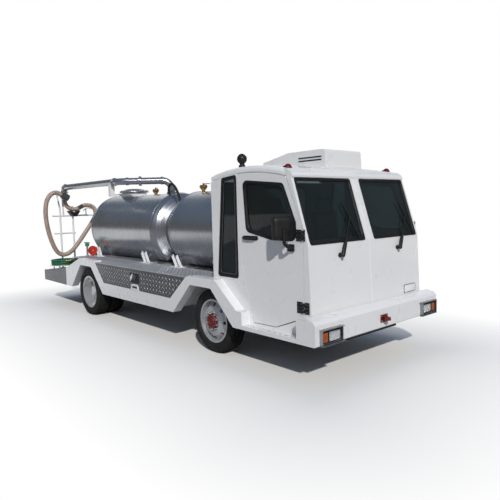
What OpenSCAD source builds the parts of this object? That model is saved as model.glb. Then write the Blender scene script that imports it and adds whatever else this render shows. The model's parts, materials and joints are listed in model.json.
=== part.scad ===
// Aircraft lavatory service truck: two stainless tanks on a low deck behind a flat steel cab.
// +X points forward, +Y to the truck's left and +Z up. The origin is on the ground, under the
// middle of the truck. All sizes are in millimetres.

/* [Overall] */
// Front axle to rear axle
wheelbase = 3214; // [2900:10:3600]
// Front axle to the front of the bumper
front_overhang = 1764; // [1680:10:1900]
// Rear axle to the tail of the platform
rear_overhang = 1940; // [1800:10:2100]
// Width over the side skirts
body_w = 2140; // [2080:10:2240]
// Width over the cab's side walls
cab_w = 1904; // [1840:10:1960]
// Top of the deck plates
deck_z = 900; // [880:5:940]
// Bottom edge of the skirts, the sill and the bumper
skirt_z = 440; // [420:5:460]

/* [Wheels] */
// Radius of a tyre
tyre_r = 380; // [360:2:400]
// Width of a tyre at its bulge
tyre_w = 225; // [205:5:235]
// Radius of the rim's bead seat, where the tyre sits
bead_r = 248; // [240:1:255]
// Front tyre's outer side to the middle of the truck
front_half_track = 908; // [890:2:920]
// Outer rear tyre's outer side to the middle of the truck
rear_half_track = 1039; // [1020:2:1050]
// Distance between the middles of twin rear tyres
twin_pitch = 254; // [246:2:270]
// Kingpin axis to the middle of the truck
kingpin_y = 700; // [690:2:715]

/* [Tanks] */
// Radius of both tanks
tank_r = 575; // [560:5:590]
// Height of the tanks' axis
tank_z = 1385; // [1370:5:1415]
// Waste tank: length between its head seams
waste_len = 2060; // [1900:10:2080]
// Water tank: length between its head seams
water_len = 1213; // [1150:1:1220]
// Depth of a dished tank head
head_depth = 250; // [200:5:260]
// Depth of the water tank's flatter head behind the cab
cab_head_depth = 205; // [160:5:230]
// Outer radius of the overhead discharge pipe
pipe_r = 54; // [46:1:58]

/* [Cab] */
// Thickness of doors, walls and roof
wall_t = 40; // [30:1:50]
// Gap around a closed door
door_gap = 6; // [5:0.5:10]
// Height of the roof's crown at the side rails
roof_z = 2149; // [2110:5:2190]
// Radius of the barrel-shaped roof, seen from the side
roof_r = 2666; // [2400:20:3000]
// Depth of the roof's side rail
rail_depth = 64; // [54:2:74]
// Height of the low floor under the driver's feet
floor_z = 500; // [490:2:510]
// Thickness of the window glass
glass_t = 6; // [4:1:8]
// Bottom of the windscreen
screen_z = 1357; // [1320:1:1400]

/* [Hoses] */
// Outer radius of the drain hose
drain_hose_r = 43; // [38:1:46]
// Outer radius of the coiled rinse hose
rinse_coil_r = 240; // [230:5:250]

/* [Hidden] */
$fn = 48;

// Clearances
seat_gap = 0.3;      // between curved faces that rest on each other
run_gap = 0.05;      // radial, shaft in bore
cut = 1;             // how far a cutter passes its surface

// Main places along the truck
tow_reach = 80;
tail_lamp_reach = 14;
overall_len = tow_reach + front_overhang + wheelbase + rear_overhang + tail_lamp_reach;
front_axle_x = overall_len / 2 - tow_reach - front_overhang;
rear_axle_x = front_axle_x - wheelbase;
bumper_x = front_axle_x + front_overhang;
tail_x = rear_axle_x - rear_overhang;
half_w = body_w / 2;
cab_half = cab_w / 2;
skirt_t = half_w - cab_half;

// Cab outline, seen from the side
cab_rear_x = front_axle_x + 121;
screen_foot_x = bumper_x - 170;
screen_rake = 206;
screen_head_x = screen_foot_x - screen_rake;
screen_head_z = 1997;
nose_foot_x = bumper_x - 128;
nose_foot_z = floor_z - wall_t;
header_z = 2000;
roof_mid_x = (cab_rear_x + screen_head_x) / 2 - 33;
roof_axis_z = roof_z - roof_r;
door_rear_x = front_axle_x + 592;
door_front_x = screen_foot_x - 72;
door_top_x = screen_head_x - 84;
door_foot_z = floor_z + 8;
belt_z = 1480;
riser_x = front_axle_x + 640;
seat_floor_z = deck_z + 20;

// Frame rails
rail_y = 430;
rail_flange = 70;
rail_web = 8;
rail_top = 775;
rail_depth_z = 200;
rail_foot = rail_top - rail_depth_z;
rail_rear_x = rear_axle_x - 851;
rail_front_x = front_axle_x + 580;
deck_t = 8;
outrigger_h = 60;
outrigger_w = 60;
nose_rail_h = 95;
tail_rail_z = 430;

// Wheel arches: half widths of the opening at its top and at the skirt's foot, and its height
arch_z = 815;
arch_half_top = 205;
arch_half_foot = 585;
arch_top_z = deck_z + 20;
band_w = 95;
skirt_band_z = 600;
panel_t = 12;
platform_front_x = rear_axle_x - 851;
platform_front_z = 716;
platform_tail_z = 598;
platform_t = 40;

// Tank places
waste_front_x = rear_axle_x + 1265;
waste_rear_x = waste_front_x - waste_len;
water_rear_x = waste_front_x + 557;
water_front_x = water_rear_x + water_len;
tank_band_w = 24;

// Rear rack and hoses
rack_x = tail_x + 54;
rack_tube_r = 17;
rung_r = 15;
rack_posts = [-730, -480, 480, 730];
rack_rail_z = 1620;
rack_rung_z = 1280;
rack_post_top = 1790;
tray_z = 690;
hose_x = tail_x + 160;
coil_x = rack_x + rack_tube_r + rinse_coil_r + 30;
coil_y = -815;

// Rounded outlines

function unit(v) = v / norm(v);

function corner(a, p, b, r, n) =
    let (u = unit(a - p), w = unit(b - p), half = acos(u * w) / 2, c = p + unit(u + w) * r / sin(half),
         s = p + u * r / tan(half) - c, e = p + w * r / tan(half) - c,
         from = atan2(s.y, s.x), turn = (atan2(e.y, e.x) - from + 540) % 360 - 180)
    [for (i = [0 : n]) c + r * [cos(from + turn * i / n), sin(from + turn * i / n)]];

// Each point is [x, y, corner radius].
function rounded(pts, n = 4) =
    let (k = len(pts), flat = [for (p = pts) [p[0], p[1]]])
    [for (i = [0 : k - 1])
        each (pts[i][2] == 0 ? [flat[i]]
            : corner(flat[(i + k - 1) % k], flat[i], flat[(i + 1) % k], pts[i][2], n))];

function rounded_box(w, h, r) =
    rounded([[-w / 2, -h / 2, r], [w / 2, -h / 2, r], [w / 2, h / 2, r], [-w / 2, h / 2, r]]);

// Solids from outlines and paths

// An outline in X and Z, drawn out along Y.
module along_y(y0, y1) {
    translate([0, y1, 0]) rotate([90, 0, 0]) linear_extrude(y1 - y0) children();
}

// An outline in Y and Z, drawn out along X.
module along_x(x0, x1) {
    translate([x0, 0, 0]) rotate([90, 0, 90]) linear_extrude(x1 - x0) children();
}

module both_sides() {
    children();
    mirror([0, 1, 0]) children();
}

module box(x0, x1, y0, y1, z0, z1) {
    translate([x0, y0, z0]) cube([x1 - x0, y1 - y0, z1 - z0]);
}

// A round bar from one point to another.
module bar(p, q, r) {
    d = q - p;
    translate(p) rotate([0, acos(d.z / norm(d)), atan2(d.y, d.x)]) cylinder(r = r, h = norm(d));
}

// A disc or tube whose axis is along Y.
module disc_y(y0, y1, r) {
    translate([0, y0, 0]) rotate([-90, 0, 0]) cylinder(r = r, h = y1 - y0);
}

// A turned profile of [radius, distance along Y].
module turned_y(pts) {
    rotate([-90, 0, 0]) rotate_extrude($fn = 64) polygon(pts);
}

function tangent(path, i) = unit(path[min(i + 1, len(path) - 1)] - path[max(i - 1, 0)]);

// A tube along a path that never runs along the axis named side.
module swept_tube(path, r, side, sides = 10) {
    k = len(path);
    rings = [for (i = [0 : k - 1])
        let (t = tangent(path, i), u = unit(side - (side * t) * t), w = cross(t, u))
        for (j = [0 : sides - 1]) path[i] + r * (cos(360 * j / sides) * u + sin(360 * j / sides) * w)];
    walls = [for (i = [0 : k - 2], j = [0 : sides - 1])
        [i * sides + j, i * sides + (j + 1) % sides,
         (i + 1) * sides + (j + 1) % sides, (i + 1) * sides + j]];
    caps = [[for (j = [0 : sides - 1]) sides - 1 - j], [for (j = [0 : sides - 1]) (k - 1) * sides + j]];
    mirrored = [for (f = concat(walls, caps)) [for (i = [len(f) - 1 : -1 : 0]) f[i]]];
    polyhedron(rings, mirrored);
}

// Chassis

outrigger_x = [rear_axle_x - 760, rear_axle_x + 20, rear_axle_x + 640, rear_axle_x + 1500,
    front_axle_x - 700, front_axle_x + 60];
cross_x = [rear_axle_x - 640, rear_axle_x + 480, rear_axle_x + 1300, front_axle_x - 1090];

module rail_profile() {
    polygon([[rail_y, rail_foot], [rail_y, rail_top], [rail_y - rail_flange, rail_top],
        [rail_y - rail_flange, rail_top - rail_web], [rail_y - rail_web, rail_top - rail_web],
        [rail_y - rail_web, rail_foot + rail_web], [rail_y - rail_flange, rail_foot + rail_web],
        [rail_y - rail_flange, rail_foot]]);
}

module chassis_frame() {
    color("#2b2c2e") {
        both_sides() {
            along_x(rail_rear_x, rail_front_x) rail_profile();
            // Nose rails carry the low floor, and a drop plate joins them to the main rail.
            box(rail_front_x - 150, nose_foot_x, rail_y - rail_flange, rail_y,
                nose_foot_z - nose_rail_h, nose_foot_z);
            box(rail_front_x - 150, rail_front_x, rail_y - rail_web, rail_y, nose_foot_z - nose_rail_h, rail_top);
            // Tail rails slope under the rear platform.
            along_y(rail_y - rail_flange, rail_y)
                polygon([[platform_front_x + 90, tail_rail_z], [platform_front_x + 90, rail_foot + 30],
                    [platform_front_x, platform_front_z - platform_t],
                    [tail_x + 40, platform_z(tail_x + 40) - platform_t], [tail_x + 40, tail_rail_z + 20]]);
            for (x = outrigger_x) {
                box(x, x + outrigger_w, rail_y - rail_flange, cab_half,
                    deck_z - deck_t - outrigger_h, deck_z - deck_t);
                box(x, x + outrigger_w, rail_y - rail_flange, rail_y, rail_top, deck_z - deck_t);
            }
        }
        for (x = cross_x)
            box(x, x + 70, -rail_y + rail_web / 2, rail_y - rail_web / 2, rail_foot + 30, rail_top - 40);
        box(nose_foot_x - 60, nose_foot_x, -rail_y, rail_y, nose_foot_z - nose_rail_h, nose_foot_z);
        box(tail_x + 40, tail_x + 100, -rail_y, rail_y, tail_rail_z + 20, platform_z(tail_x + 40) - platform_t - 5);
    }
}

// Front axle: a forged beam, dropped in the middle, with an eye for each kingpin.
kingpin_r = 18;
eye_r = 40;
eye_half = 45;
beam_w = 70;
beam_drop = 50;
spring_y = rail_y - rail_flange / 2;
spring_w = 64;
spring_t = 46;
beam_top = tyre_r - beam_drop + 40;

module front_axle() {
    color("#2b2c2e") translate([front_axle_x, 0, 0]) difference() {
        union() {
            along_x(-beam_w / 2, beam_w / 2)
                polygon([[-kingpin_y, tyre_r - 38], [-kingpin_y, tyre_r + 38], [-560, tyre_r + 38],
                    [-490, beam_top], [490, beam_top], [560, tyre_r + 38], [kingpin_y, tyre_r + 38],
                    [kingpin_y, tyre_r - 38], [580, tyre_r - 38], [510, beam_top - 80], [-510, beam_top - 80],
                    [-580, tyre_r - 38]]);
            for (s = [-1, 1])
                translate([0, s * kingpin_y, tyre_r - eye_half]) cylinder(r = eye_r, h = 2 * eye_half);
        }
        for (s = [-1, 1])
            translate([0, s * kingpin_y, 0]) cylinder(r = kingpin_r + run_gap, h = 2 * tyre_r);
        for (s = [-1, 1])
            along_y(s * 300 - 170, s * 300 + 170) {
                translate([-beam_w / 2 - cut, beam_top - 60]) square([20 + cut, 40]);
                translate([beam_w / 2 - 20, beam_top - 60]) square([20 + cut, 40]);
            }
    }
}

// Rear axle: a tube with a round differential housing and a spindle at each end.
axle_tube_r = 65;
rear_spindle_r = 40;
rear_outer_y = rear_half_track - tyre_w / 2;
rear_inner_y = rear_outer_y - twin_pitch;
hub_plane_y = (rear_outer_y + rear_inner_y) / 2;
spindle_end_y = rear_half_track - 110;
diff_r = 175;
diff_x = 250;

module rear_axle() {
    color("#2b2c2e") translate([rear_axle_x, 0, tyre_r]) {
        disc_y(-hub_plane_y + 75, hub_plane_y - 75, axle_tube_r);
        disc_y(-spindle_end_y, spindle_end_y, rear_spindle_r);
        intersection() {
            sphere(r = diff_r);
            disc_y(-130, 130, diff_r + cut);
        }
        rotate([0, 90, 0]) cylinder(r1 = 120, r2 = 60, h = diff_x);
        for (s = [-1, 1])
            box(-60, 60, s * spring_y - spring_w / 2, s * spring_y + spring_w / 2, 30, 85);
    }
}

// Leaf springs: an arched pack with an eye and a hanger at each end.
// axle x, height of the pack's underside at the axle, half length
springs = [[front_axle_x, beam_top, 380], [rear_axle_x, tyre_r + 85, 520]];

function arc_rise(x, half, rise) = rise * pow(x / half, 2);

module leaf_spring(axle_x, foot_z, half) {
    rise = rail_foot - foot_z - spring_t - 20;
    steps = [-10 : 10];
    translate([axle_x, 0, 0]) {
        along_y(spring_y - spring_w / 2, spring_y + spring_w / 2)
            polygon(concat(
                [for (i = steps) [half * i / 10, foot_z + arc_rise(half * i / 10, half, rise)]],
                [for (i = steps) [-half * i / 10,
                    foot_z + spring_t - 26 * abs(i / 10) + arc_rise(half * i / 10, half, rise)]]));
        for (s = [-1, 1])
            along_y(spring_y - spring_w / 2, spring_y + spring_w / 2)
                polygon([[s * half - 28, foot_z + rise - 10], [s * half + 28, foot_z + rise - 10],
                    [s * half + 40, rail_foot], [s * half - 40, rail_foot]]);
    }
}

module leaf_springs() {
    color("#3a3b3d") both_sides() for (s = springs) leaf_spring(s[0], s[1], s[2]);
}

// Engine, gearbox and propeller shaft, as plain blocks.
engine_rear_x = front_axle_x - 520;
engine_half_w = 280;
engine_top = rail_top - 10;
gearbox_rear_x = engine_rear_x - 480;
shaft_z = tyre_r + 130;
shaft_gap = 4;

module power_unit() {
    color("#4a4c4f") {
        along_x(engine_rear_x, front_axle_x + 340)
            polygon([[-engine_half_w + 90, beam_top + 60], [engine_half_w - 90, beam_top + 60],
                [engine_half_w, rail_foot + 40], [engine_half_w, engine_top], [-engine_half_w, engine_top],
                [-engine_half_w, rail_foot + 40]]);
        translate([gearbox_rear_x, 0, shaft_z + 40]) rotate([0, 90, 0])
            cylinder(r1 = 90, r2 = 190, h = engine_rear_x - gearbox_rear_x + cut);
        bar([rear_axle_x + diff_x + shaft_gap, 0, tyre_r], [gearbox_rear_x + cut, 0, shaft_z + 40], 42);
        // Engine feet stand on the rails' lower flanges.
        for (s = [-1, 1])
            box(front_axle_x - 320, front_axle_x - 200, s > 0 ? engine_half_w - cut : -rail_y + rail_web,
                s > 0 ? rail_y - rail_web : -engine_half_w + cut, rail_foot + rail_web, rail_foot + rail_web + 60);
    }
}

filler_x = rear_axle_x + 1654;
filler_z = 778;
fuel_half_len = 250;

module fuel_tank() {
    color("#3a3b3d") along_x(filler_x - fuel_half_len, filler_x + fuel_half_len)
        translate([-(rail_y + 245), 655])
            polygon(rounded([[-245, -185, 70], [245, -185, 70], [245, 165, 0], [-245, 165, 70]]));
    color("#d7d8d6") translate([filler_x, 0, filler_z])
        disc_y(-half_w + panel_t, -(rail_y + 490), 35);
}

// Deck and skirts

// Height of the platform's sloping top.
function platform_z(x) = platform_tail_z
    + (platform_front_z - platform_tail_z) * (x - tail_x) / (platform_front_x - tail_x);

deck_inner_y = tank_r - 40;
deck_rear_x = platform_front_x;

module deck() {
    color("#c9ccce") both_sides() translate([0, 0, deck_z - deck_t]) linear_extrude(deck_t)
        polygon([[deck_rear_x, deck_inner_y], [cab_rear_x, deck_inner_y], [cab_rear_x, cab_half],
            [front_axle_x - 300, cab_half], [front_axle_x - 300, half_w], [rear_axle_x + 380, half_w],
            [rear_axle_x + 380, cab_half], [deck_rear_x, cab_half]]);
}

// The opening over a wheel, with its foot drawn below the skirt.
module arch_opening(x) {
    slope = (arch_half_foot - arch_half_top) / (arch_z - skirt_z);
    foot = arch_half_foot + slope * 60;
    polygon(rounded([[x - foot, skirt_z - 60, 0], [x - arch_half_top, arch_z, 40],
        [x + arch_half_top, arch_z, 40], [x + foot, skirt_z - 60, 0]]));
}

sill_z = skirt_z + 40;

module skirt_outline() {
    difference() {
        polygon([
            // rear leg, rear arch
            [platform_front_x, skirt_z - 30], [platform_front_x, platform_front_z],
            [rear_axle_x - 250, arch_top_z], [rear_axle_x + 340, arch_top_z],
            [rear_axle_x + 380, deck_z - deck_t],
            // deck edge, front arch
            [front_axle_x - 300, deck_z - deck_t], [front_axle_x - 234, arch_top_z],
            [front_axle_x + 279, arch_top_z], [front_axle_x + 651, sill_z + 143],
            [front_axle_x + 740, sill_z + 143], [front_axle_x + 740, sill_z],
            // running board
            [door_front_x, sill_z], [door_front_x, skirt_z]]);
        arch_opening(front_axle_x);
        arch_opening(rear_axle_x);
        translate([rear_axle_x - arch_half_foot - 300, skirt_z - 80]) square([300 + 100, 50]);
    }
}

// Outline of the tread-plate panel between the arches.
function panel_outline() = [
    [rear_axle_x + 380 + band_w - 95, deck_z - deck_t], [rear_axle_x + arch_half_foot + band_w - 20, skirt_band_z],
    [front_axle_x - arch_half_foot - band_w + 30, skirt_band_z], [front_axle_x - 300, deck_z - deck_t]];

module skirts() {
    color("#eef0f1") for (s = [-1, 1]) mirror([0, s < 0 ? 1 : 0, 0]) difference() {
        along_y(cab_half, half_w) skirt_outline();
        along_y(half_w - panel_t, half_w + cut) polygon(panel_outline());
        // Hollow behind the panel, open to the inside of the truck.
        along_y(cab_half - cut, half_w - panel_t - 30)
            polygon([[rear_axle_x + arch_half_foot + 60, skirt_z + 30], [rear_axle_x + 420, deck_z - 60],
                [front_axle_x - 400, deck_z - 60], [front_axle_x - arch_half_foot - 60, skirt_z + 30]]);
        if (s < 0)
            translate([filler_x, 0, filler_z]) disc_y(cab_half - cut, half_w + cut, 40);
    }
}

module tread_panels() {
    color("#8d9194") {
        for (s = [-1, 1])
            mirror([0, s < 0 ? 1 : 0, 0]) difference() {
                along_y(half_w - panel_t, half_w) polygon(panel_outline());
                if (s < 0)
                    translate([filler_x, 0, filler_z]) disc_y(half_w - panel_t - cut, half_w + cut, 40);
            }
        // Sides of the rear platform
        both_sides() along_y(half_w - 30, half_w)
            polygon([[platform_front_x, platform_front_z], [platform_front_x, skirt_z - 30],
                [tail_x + 20, skirt_z - 30], [tail_x + 20, platform_z(tail_x + 20)]]);
    }
}

module rear_platform() {
    color("#a9adb0") {
        along_y(-half_w + 30, half_w - 30)
            polygon([[platform_front_x, platform_front_z], [tail_x + 20, platform_z(tail_x + 20)],
                [tail_x + 20, platform_z(tail_x + 20) - platform_t],
                [platform_front_x, platform_front_z - platform_t]]);
        box(tail_x, tail_x + 20, -half_w, half_w, skirt_z - 30, platform_tail_z);
    }
}

// Route of the drain hose from the pipe's collar to the coupling: forward shift, y, z
drain_route = [[0, -665, 1960], [0, -665, 1900], [0, -650, 1838], [0, -607, 1785], [0, -545, 1752],
    [0, -480, 1744], [0, -410, 1758], [0, -345, 1790], [0, -280, 1816], [0, -205, 1817], [0, -130, 1798],
    [0, -75, 1750], [0, -52, 1680], [0, -62, 1605], [0, -105, 1525], [0, -170, 1430], [0, -245, 1330],
    [0, -325, 1225], [0, -410, 1115], [0, -495, 1015], [0, -580, 930], [0, -670, 880], [0, -760, 872],
    [5, -840, 910], [15, -900, 985], [30, -950, 1090], [48, -995, 1215], [66, -1032, 1350],
    [84, -1060, 1490], [100, -1076, 1630], [120, -1078, 1760], [135, -1062, 1880], [145, -1015, 1985],
    [145, -940, 2050], [145, -855, 2062], [145, -780, 2025]];
hose_path = [for (p = drain_route) [hose_x + p[0], p[1], p[2]]];
hose_end = hose_path[len(hose_path) - 1];
coupling_neck_r = 52;

// Rear rack: tube ladder that carries the pipe's end, the hose cradle and the coil's tray.
pipe_end_y = -665;
pipe_z = 2165;
elbow_r = 90;
hook_y = -205;
hook_z = 1651;
hook_r = 111;
hook_tube_r = 8;
hook_arc = [50, 100];
cradle_y = -490;
arm_y = -772;
arm_z = 2020;
arm_r = 14;

module rack_tube(p, q, r = rack_tube_r) {
    bar(p, q, r);
}

module rear_rack() {
    color("#eceeee") difference() {
        union() {
            for (y = rack_posts)
                rack_tube([rack_x, y, platform_tail_z - 20], [rack_x, y, rack_post_top]);
            rack_tube([rack_x, -870, rack_rail_z], [rack_x, 870, rack_rail_z], rung_r);
            for (s = [-1, 1])
                rack_tube([rack_x, s * 440, rack_rung_z], [rack_x, s * 860, rack_rung_z], rung_r);
            // Stanchion behind the pipe's elbow
            rack_tube([rack_x, pipe_end_y, rack_rail_z], [rack_x, pipe_end_y, pipe_z - 120]);
            rack_tube([rack_x, pipe_end_y, pipe_z - 140], [hose_x - pipe_r, pipe_end_y, pipe_z - 140], arm_r);
            // Arm that holds the coupling
            rack_tube([rack_x, rack_posts[0], rack_post_top - 20], [rack_x, arm_y, arm_z], arm_r);
            translate([rack_x, arm_y, arm_z]) sphere(r = arm_r + 4);
            rack_tube([rack_x, arm_y, arm_z], [hose_end.x - coupling_neck_r - seat_gap, arm_y, arm_z], arm_r - 2);
            // Hook under the hose's bend
            translate([hose_x, hook_y, hook_z]) rotate([90, 0, 90]) rotate([0, 0, hook_arc[0]])
                rotate_extrude(angle = hook_arc[1]) translate([hook_r, 0]) circle(r = hook_tube_r);
            rack_tube([rack_x, hook_y, rack_rail_z], [rack_x, hook_y, hook_z + hook_r], 10);
            rack_tube([rack_x, hook_y, hook_z + hook_r], [hose_x, hook_y, hook_z + hook_r], hook_tube_r - 1);
            // Tray for the rinse hose
            translate([coil_x, coil_y, tray_z]) cylinder(r = rinse_coil_r + 12, h = 10);
            for (a = [45 : 90 : 315])
                translate([coil_x + 200 * cos(a), coil_y + 200 * sin(a), 500])
                    cylinder(r = 10, h = tray_z - 500 + cut);
        }
        // Feet stand on the sloping platform.
        along_y(-half_w, half_w)
            polygon([[platform_front_x, 300], [platform_front_x, platform_front_z],
                [tail_x - cut, platform_z(tail_x - cut)], [tail_x - cut, 300]]);
    }
    color("#1c1d1f") along_x(rack_x + rack_tube_r - 4, hose_x + drain_hose_r)
        polygon([[cradle_y - 110, rack_rail_z + 90], [cradle_y - 30, rack_rail_z - 15],
            [cradle_y + 30, rack_rail_z - 15], [cradle_y + 110, rack_rail_z + 90],
            [cradle_y + 90, rack_rail_z + 96], [cradle_y, rack_rail_z + 50], [cradle_y - 90, rack_rail_z + 96]]);
}

// Tanks

head_steps = 8;
tank_fn = 96;

// Outline of a dished head from its seam inward: [radius, distance from the seam]
function head_outline(depth) = [for (i = [0 : head_steps])
    let (a = 90 * i / head_steps) [tank_r * cos(a), depth * sin(a)]];

function backward(list) = [for (i = [len(list) - 1 : -1 : 0]) list[i]];

// A shell between two head seams with a dished head at each end, axis along X.
module tank(x0, x1, rear_depth, front_depth) {
    rear = [for (p = head_outline(rear_depth)) [p[0], -p[1]]];
    front = [for (p = head_outline(front_depth)) [p[0], x1 - x0 + p[1]]];
    translate([x0, 0, tank_z]) rotate([0, 90, 0]) rotate_extrude($fn = tank_fn)
        polygon(concat(backward(rear), front));
}

// Room for a tank's shell under the things that rest on it
module tank_cut(x, half) {
    translate([x - half, 0, tank_z]) rotate([0, 90, 0])
        cylinder(r = tank_r + seat_gap, h = 2 * half, $fn = tank_fn);
}

module waste_tank() {
    color("#b5bbc2") tank(waste_rear_x, waste_front_x, head_depth, head_depth);
}

module water_tank() {
    color("#b5bbc2") tank(water_rear_x, water_front_x, head_depth, cab_head_depth);
}

saddle_x = [waste_rear_x + 170, waste_front_x - 235, water_rear_x + 90, water_front_x - 160];
saddle_w = 70;

module tank_saddles() {
    color("#d9dcde") for (x = saddle_x)
        difference() {
            along_x(x, x + saddle_w)
                polygon([[-rail_y, rail_top], [rail_y, rail_top], [deck_inner_y - 15, deck_z - 20],
                    [deck_inner_y - 15, deck_z + 60], [tank_r - 130, deck_z + 150], [-tank_r + 130, deck_z + 150],
                    [-deck_inner_y + 15, deck_z + 60], [-deck_inner_y + 15, deck_z - 20]]);
            tank_cut(x + saddle_w / 2, saddle_w / 2 + cut);
        }
}

manway_x = rear_axle_x - 218;
manway_r = 250;

module manway_cover() {
    tank_top = tank_z + tank_r;
    color("#c3c8cd") difference() {
        translate([manway_x, 0, 0]) rotate_extrude()
            polygon([[0, tank_top - 150], [manway_r - 30, tank_top - 150], [manway_r - 30, tank_top + 50],
                [manway_r, tank_top + 50], [manway_r, tank_top + 78], [manway_r - 40, tank_top + 84],
                [150, tank_top + 112], [70, tank_top + 122], [0, tank_top + 124]]);
        tank_cut(manway_x, 2 * manway_r);
    }
}

// Overhead pipe: rises from the waste tank, swings out to the right, runs back and turns down at the rack.
riser_foot = [waste_front_x - 213, -20];
riser_bend_r = 150;
swing = 50;
kink_bend_r = 300;
collar_foot_z = 1960;
swing_dir = [-cos(swing), -sin(swing), 0];
kink = [riser_foot.x, riser_foot.y, pipe_z] + (riser_foot.y - pipe_end_y) / sin(swing) * swing_dir;
kink_start = kink - kink_bend_r * tan(swing / 2) * swing_dir;
kink_end = kink - [kink_bend_r * tan(swing / 2), 0, 0];
pipe_end = [hose_x + elbow_r, pipe_end_y, pipe_z];

module pipe_bend(r, angle) {
    rotate_extrude(angle = angle) translate([r, 0]) circle(r = pipe_r);
}

band_half = 18;
joint_gap = 2;

// A clamp band that bridges the joint between two lengths of pipe
module pipe_band(at, dir) {
    bar(at - band_half * dir, at + band_half * dir, pipe_r + 7);
}

// A straight length that stops short of the bends at its ends
module pipe_length(p, q) {
    dir = unit(q - p);
    bar(p + joint_gap * dir, q - joint_gap * dir, pipe_r);
}

module discharge_pipe() {
    bend_foot = [riser_foot.x, riser_foot.y, pipe_z - riser_bend_r];
    bend_top = [riser_foot.x, riser_foot.y, pipe_z] + riser_bend_r * swing_dir;
    drop_top = [hose_x, pipe_end_y, pipe_z - elbow_r];
    drop_foot = [hose_x, pipe_end_y, collar_foot_z];
    color("#aeb4ba") {
        // Riser with its foot flange on the tank
        difference() {
            union() {
                pipe_length([riser_foot.x, riser_foot.y, tank_z], bend_foot);
                translate([riser_foot.x, riser_foot.y, tank_z]) cylinder(r = pipe_r + 30, h = tank_r + 16);
            }
            tank_cut(riser_foot.x, 200);
        }
        pipe_band(bend_foot, [0, 0, 1]);
        translate(bend_foot) rotate([0, 0, swing]) translate([-riser_bend_r, 0, 0]) rotate([90, 0, 0])
            pipe_bend(riser_bend_r, 90);
        pipe_band(bend_top, swing_dir);
        pipe_length(kink_start, bend_top);
        pipe_band(kink_start, swing_dir);
        translate(kink_end + [0, kink_bend_r, 0]) rotate([0, 0, -90]) pipe_bend(kink_bend_r, swing);
        pipe_band(kink_end, [1, 0, 0]);
        pipe_length(kink_end, pipe_end);
        pipe_band(pipe_end, [1, 0, 0]);
        // Flange pair behind the riser
        bar(kink_start - 190 * swing_dir, kink_start - 220 * swing_dir, pipe_r + 22);
        // Tail elbow and hose collar
        translate([pipe_end.x, pipe_end.y, drop_top.z]) rotate([90, 0, 180]) pipe_bend(elbow_r, 90);
        pipe_band(drop_top, [0, 0, 1]);
        pipe_length(drop_foot, drop_top);
        bar(drop_foot, drop_foot + [0, 0, 40], pipe_r + 14);
    }
}

// Bracket from the crown of the waste tank out to the pipe
post_x = kink_end.x - 120;
post_arm_z = 1935;

module pipe_post() {
    color("#e4e6e7") difference() {
        union() {
            box(post_x - 30, post_x + 30, pipe_end_y - 40, pipe_end_y + 40, post_arm_z, pipe_z);
            box(post_x - 30, post_x + 30, pipe_end_y, -40, post_arm_z, post_arm_z + 44);
        }
        tank_cut(post_x, 100);
        bar(kink_end, pipe_end, pipe_r + seat_gap);
    }
}

// Brass valves on the tanks' tops: x, y, lever length
valves = [[rear_axle_x + 522, 0, 60], [water_rear_x + 197, -100, 150]];

module brass_valves() {
    color("#a8813f") for (v = valves)
        difference() {
            translate([v[0], v[1], tank_z]) {
                cylinder(r = 24, h = tank_r + 40);
                translate([0, 0, tank_r + 18]) cylinder(r = 38, h = 26, $fn = 6);
                translate([-60, 0, tank_r + 62]) rotate([0, 90, 0]) cylinder(r = 24, h = 120);
                cylinder(r = 9, h = tank_r + 104);
                translate([-8, -10, tank_r + 98]) cube([v[2], 20, 6]);
            }
            tank_cut(v[0], 200);
        }
}

// Vent hose: arches from the waste tank's crown, ahead of the riser, down into the gap between the tanks
vent_r = 19;
vent_y = -150;
// Places along the hose: x from the head seam, z from the crown
vent_route = [[-100, 40], [-96, 82], [-76, 116], [-36, 136], [12, 134], [60, 108], [110, 62], [156, 0], [192, -70],
    [218, -150], [236, -240], [246, -330]];

module vent_hose() {
    crown = tank_z + tank_r;
    foot = tank_z + sqrt(tank_r * tank_r - pow(abs(vent_y) - vent_r, 2)) + seat_gap;
    path = concat([[waste_front_x - 100, vent_y, foot]],
        [for (p = vent_route) [waste_front_x + p[0], vent_y, crown + p[1]]]);
    color("#17181a") swept_tube(path, vent_r, [0, 1, 0]);
}

// Drain valve on the waste tank's right side, and a small tap beside it
valve_x = waste_rear_x + 60;
valve_z = 985;
valve_y = -590;

module drain_valve() {
    color("#c81e1e") difference() {
        translate([valve_x, 0, valve_z]) {
            disc_y(valve_y, -330, 42);
            disc_y(valve_y - 30, valve_y, 80);
            disc_y(valve_y - 46, valve_y - 30, 22);
            translate([0, valve_y + 60, deck_z - valve_z]) cylinder(r = 34, h = valve_z - deck_z);
        }
        tank_cut(valve_x, 300);
    }
    color("#1e8a4a") translate([valve_x - 20, valve_y - 110, deck_z]) {
        cylinder(r = 17, h = 220);
        translate([0, 0, 200]) rotate([0, 90, 0]) translate([0, 0, -45]) cylinder(r = 26, h = 90);
        translate([-60, -14, 226]) cube([130, 28, 22]);
    }
}

// Hoses

module drain_hose() {
    color("#b08878") swept_tube(hose_path, drain_hose_r, [1, 0, 0]);
}

// Grey coupling on the hose's free end: a stepped drum in line with the hose
module hose_coupling() {
    dir = tangent(hose_path, len(hose_path) - 1);
    color("#4d5054") translate(hose_end) rotate([0, acos(dir.z), atan2(dir.y, dir.x)]) rotate_extrude()
        polygon([[0, 0], [coupling_neck_r, 0], [coupling_neck_r, 30], [68, 40], [68, 110], [60, 116],
            [60, 150], [0, 150]]);
}

coil_h = 115;
coil_w = 100;

module rinse_hose() {
    color("#1d5a3c") translate([coil_x, coil_y, tray_z + 10]) rotate_extrude()
        polygon(rounded([[rinse_coil_r - coil_w, 0, 14], [rinse_coil_r, 0, 14],
            [rinse_coil_r, coil_h, 30], [rinse_coil_r - coil_w, coil_h, 30]]));
}

// Cab

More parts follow.
